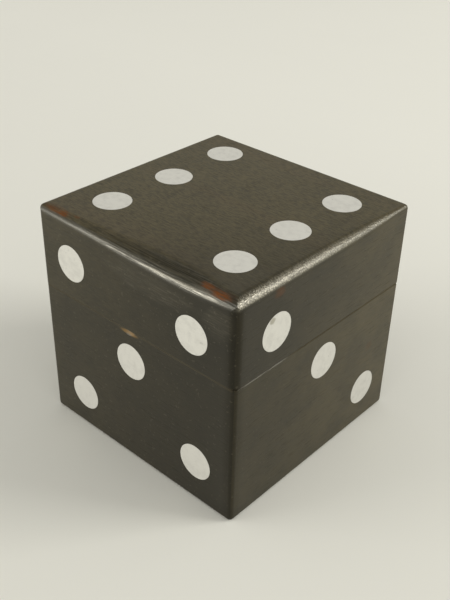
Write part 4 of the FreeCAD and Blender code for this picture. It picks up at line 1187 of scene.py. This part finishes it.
class DIEBOX_OT_pips(bpy.types.Operator):
    """Give every pip its pale ground face"""

    bl_idname = "diebox.pips"
    bl_label = "Pips"

    def execute(self, context):
        pips = [name for name in NODES if name.startswith("pip_")]
        dress(pips, bone_inlay(context.scene.diebox_inlay))
        return {"FINISHED"}


class DIEBOX_OT_lining(bpy.types.Operator):
    """Finish the lining, the spring's seat, the follower and the dowel in bare wood"""

    bl_idname = "diebox.lining"
    bl_label = "Lining"

    def execute(self, context):
        wood = context.scene.diebox_wood
        for name, (along, pieces) in BARE_WOOD.items():
            dress(pieces, bare_wood(wood, name, along))
        return {"FINISHED"}


class DIEBOX_OT_hinges(bpy.types.Operator):
    """Finish both hinges and the cap's bead in brass, and model the hinges' slotted screws"""

    bl_idname = "diebox.hinges"
    bl_label = "Hinges"

    def execute(self, context):
        hardware = context.scene.diebox_hardware
        brass = tarnished_brass(hardware)
        dress(BRASS, brass)
        make_screws(hardware, brass)
        return {"FINISHED"}


class DIEBOX_OT_spring(bpy.types.Operator):
    """Model the coil spring that lifts the figure"""

    bl_idname = "diebox.spring"
    bl_label = "Spring"

    def execute(self, context):
        hardware = context.scene.diebox_hardware
        steel = drawn_wire(hardware)
        dress(["spring"], steel)
        make_spring(hardware, steel)
        return {"FINISHED"}


class DIEBOX_OT_figure(bpy.types.Operator):
    """Paint the turned figure and model its ruff and buttons"""

    bl_idname = "diebox.figure"
    bl_label = "Figure"

    def execute(self, context):
        figure = context.scene.diebox_figure
        wood = context.scene.diebox_wood
        cream = ruff_paint(figure, wood)
        dress(["torso", "nose"], coat_paint(figure, wood))
        dress(["head"], face_paint(figure, wood))
        dress(["cap"], cap_paint(figure, wood))
        dress(["ruff"], cream)
        make_ruff(figure, cream)
        make_buttons(figure, NODES["cap_bead"].data.materials[0])
        return {"FINISHED"}


class DIEBOX_OT_stage(bpy.types.Operator):
    """Set up the floor, the light and the camera"""

    bl_idname = "diebox.stage"
    bl_label = "Stage"

    def execute(self, context):
        stage = context.scene.diebox_stage
        make_floor(stage)
        make_world(stage)
        key_way = outwards_from_box(stage.key_azimuth, stage.key_elevation)
        make_lamp(stage, "key_lamp", key_way, stage.key_size, stage.key_power)
        fill_way = outwards_from_box(stage.fill_azimuth, stage.fill_elevation)
        make_lamp(stage, "fill_lamp", fill_way, stage.fill_size, stage.fill_power)
        make_camera(stage)
        context.scene.view_settings.view_transform = "Standard"
        return {"FINISHED"}


class DIEBOX_PT_panel(bpy.types.Panel):
    """The steps that dress the die, in order"""

    bl_idname = "DIEBOX_PT_panel"
    bl_label = "Die box"
    bl_space_type = "VIEW_3D"
    bl_region_type = "UI"
    bl_category = "Die box"

    def draw(self, context):
        for step in STEPS:
            self.layout.operator(step.bl_idname)


STEPS = (DIEBOX_OT_boards, DIEBOX_OT_pips, DIEBOX_OT_lining, DIEBOX_OT_hinges, DIEBOX_OT_spring,
         DIEBOX_OT_figure, DIEBOX_OT_stage)
SETTINGS = {
    "diebox_wood": DIEBOX_PG_wood,
    "diebox_inlay": DIEBOX_PG_inlay,
    "diebox_hardware": DIEBOX_PG_hardware,
    "diebox_figure": DIEBOX_PG_figure,
    "diebox_stage": DIEBOX_PG_stage,
}
CLASSES = (*SETTINGS.values(), *STEPS, DIEBOX_PT_panel)


def register():
    for each in CLASSES:
        bpy.utils.register_class(each)
    for name, settings in SETTINGS.items():
        setattr(bpy.types.Scene, name, PointerProperty(type=settings))


def unregister():
    for name in SETTINGS:
        delattr(bpy.types.Scene, name)
    for each in reversed(CLASSES):
        bpy.utils.unregister_class(each)


def main():
    register()
    bpy.ops.diebox.boards()
    bpy.ops.diebox.pips()
    bpy.ops.diebox.lining()
    bpy.ops.diebox.hinges()
    bpy.ops.diebox.spring()
    bpy.ops.diebox.figure()
    bpy.ops.diebox.stage()


if __name__ == "__main__":
    main()
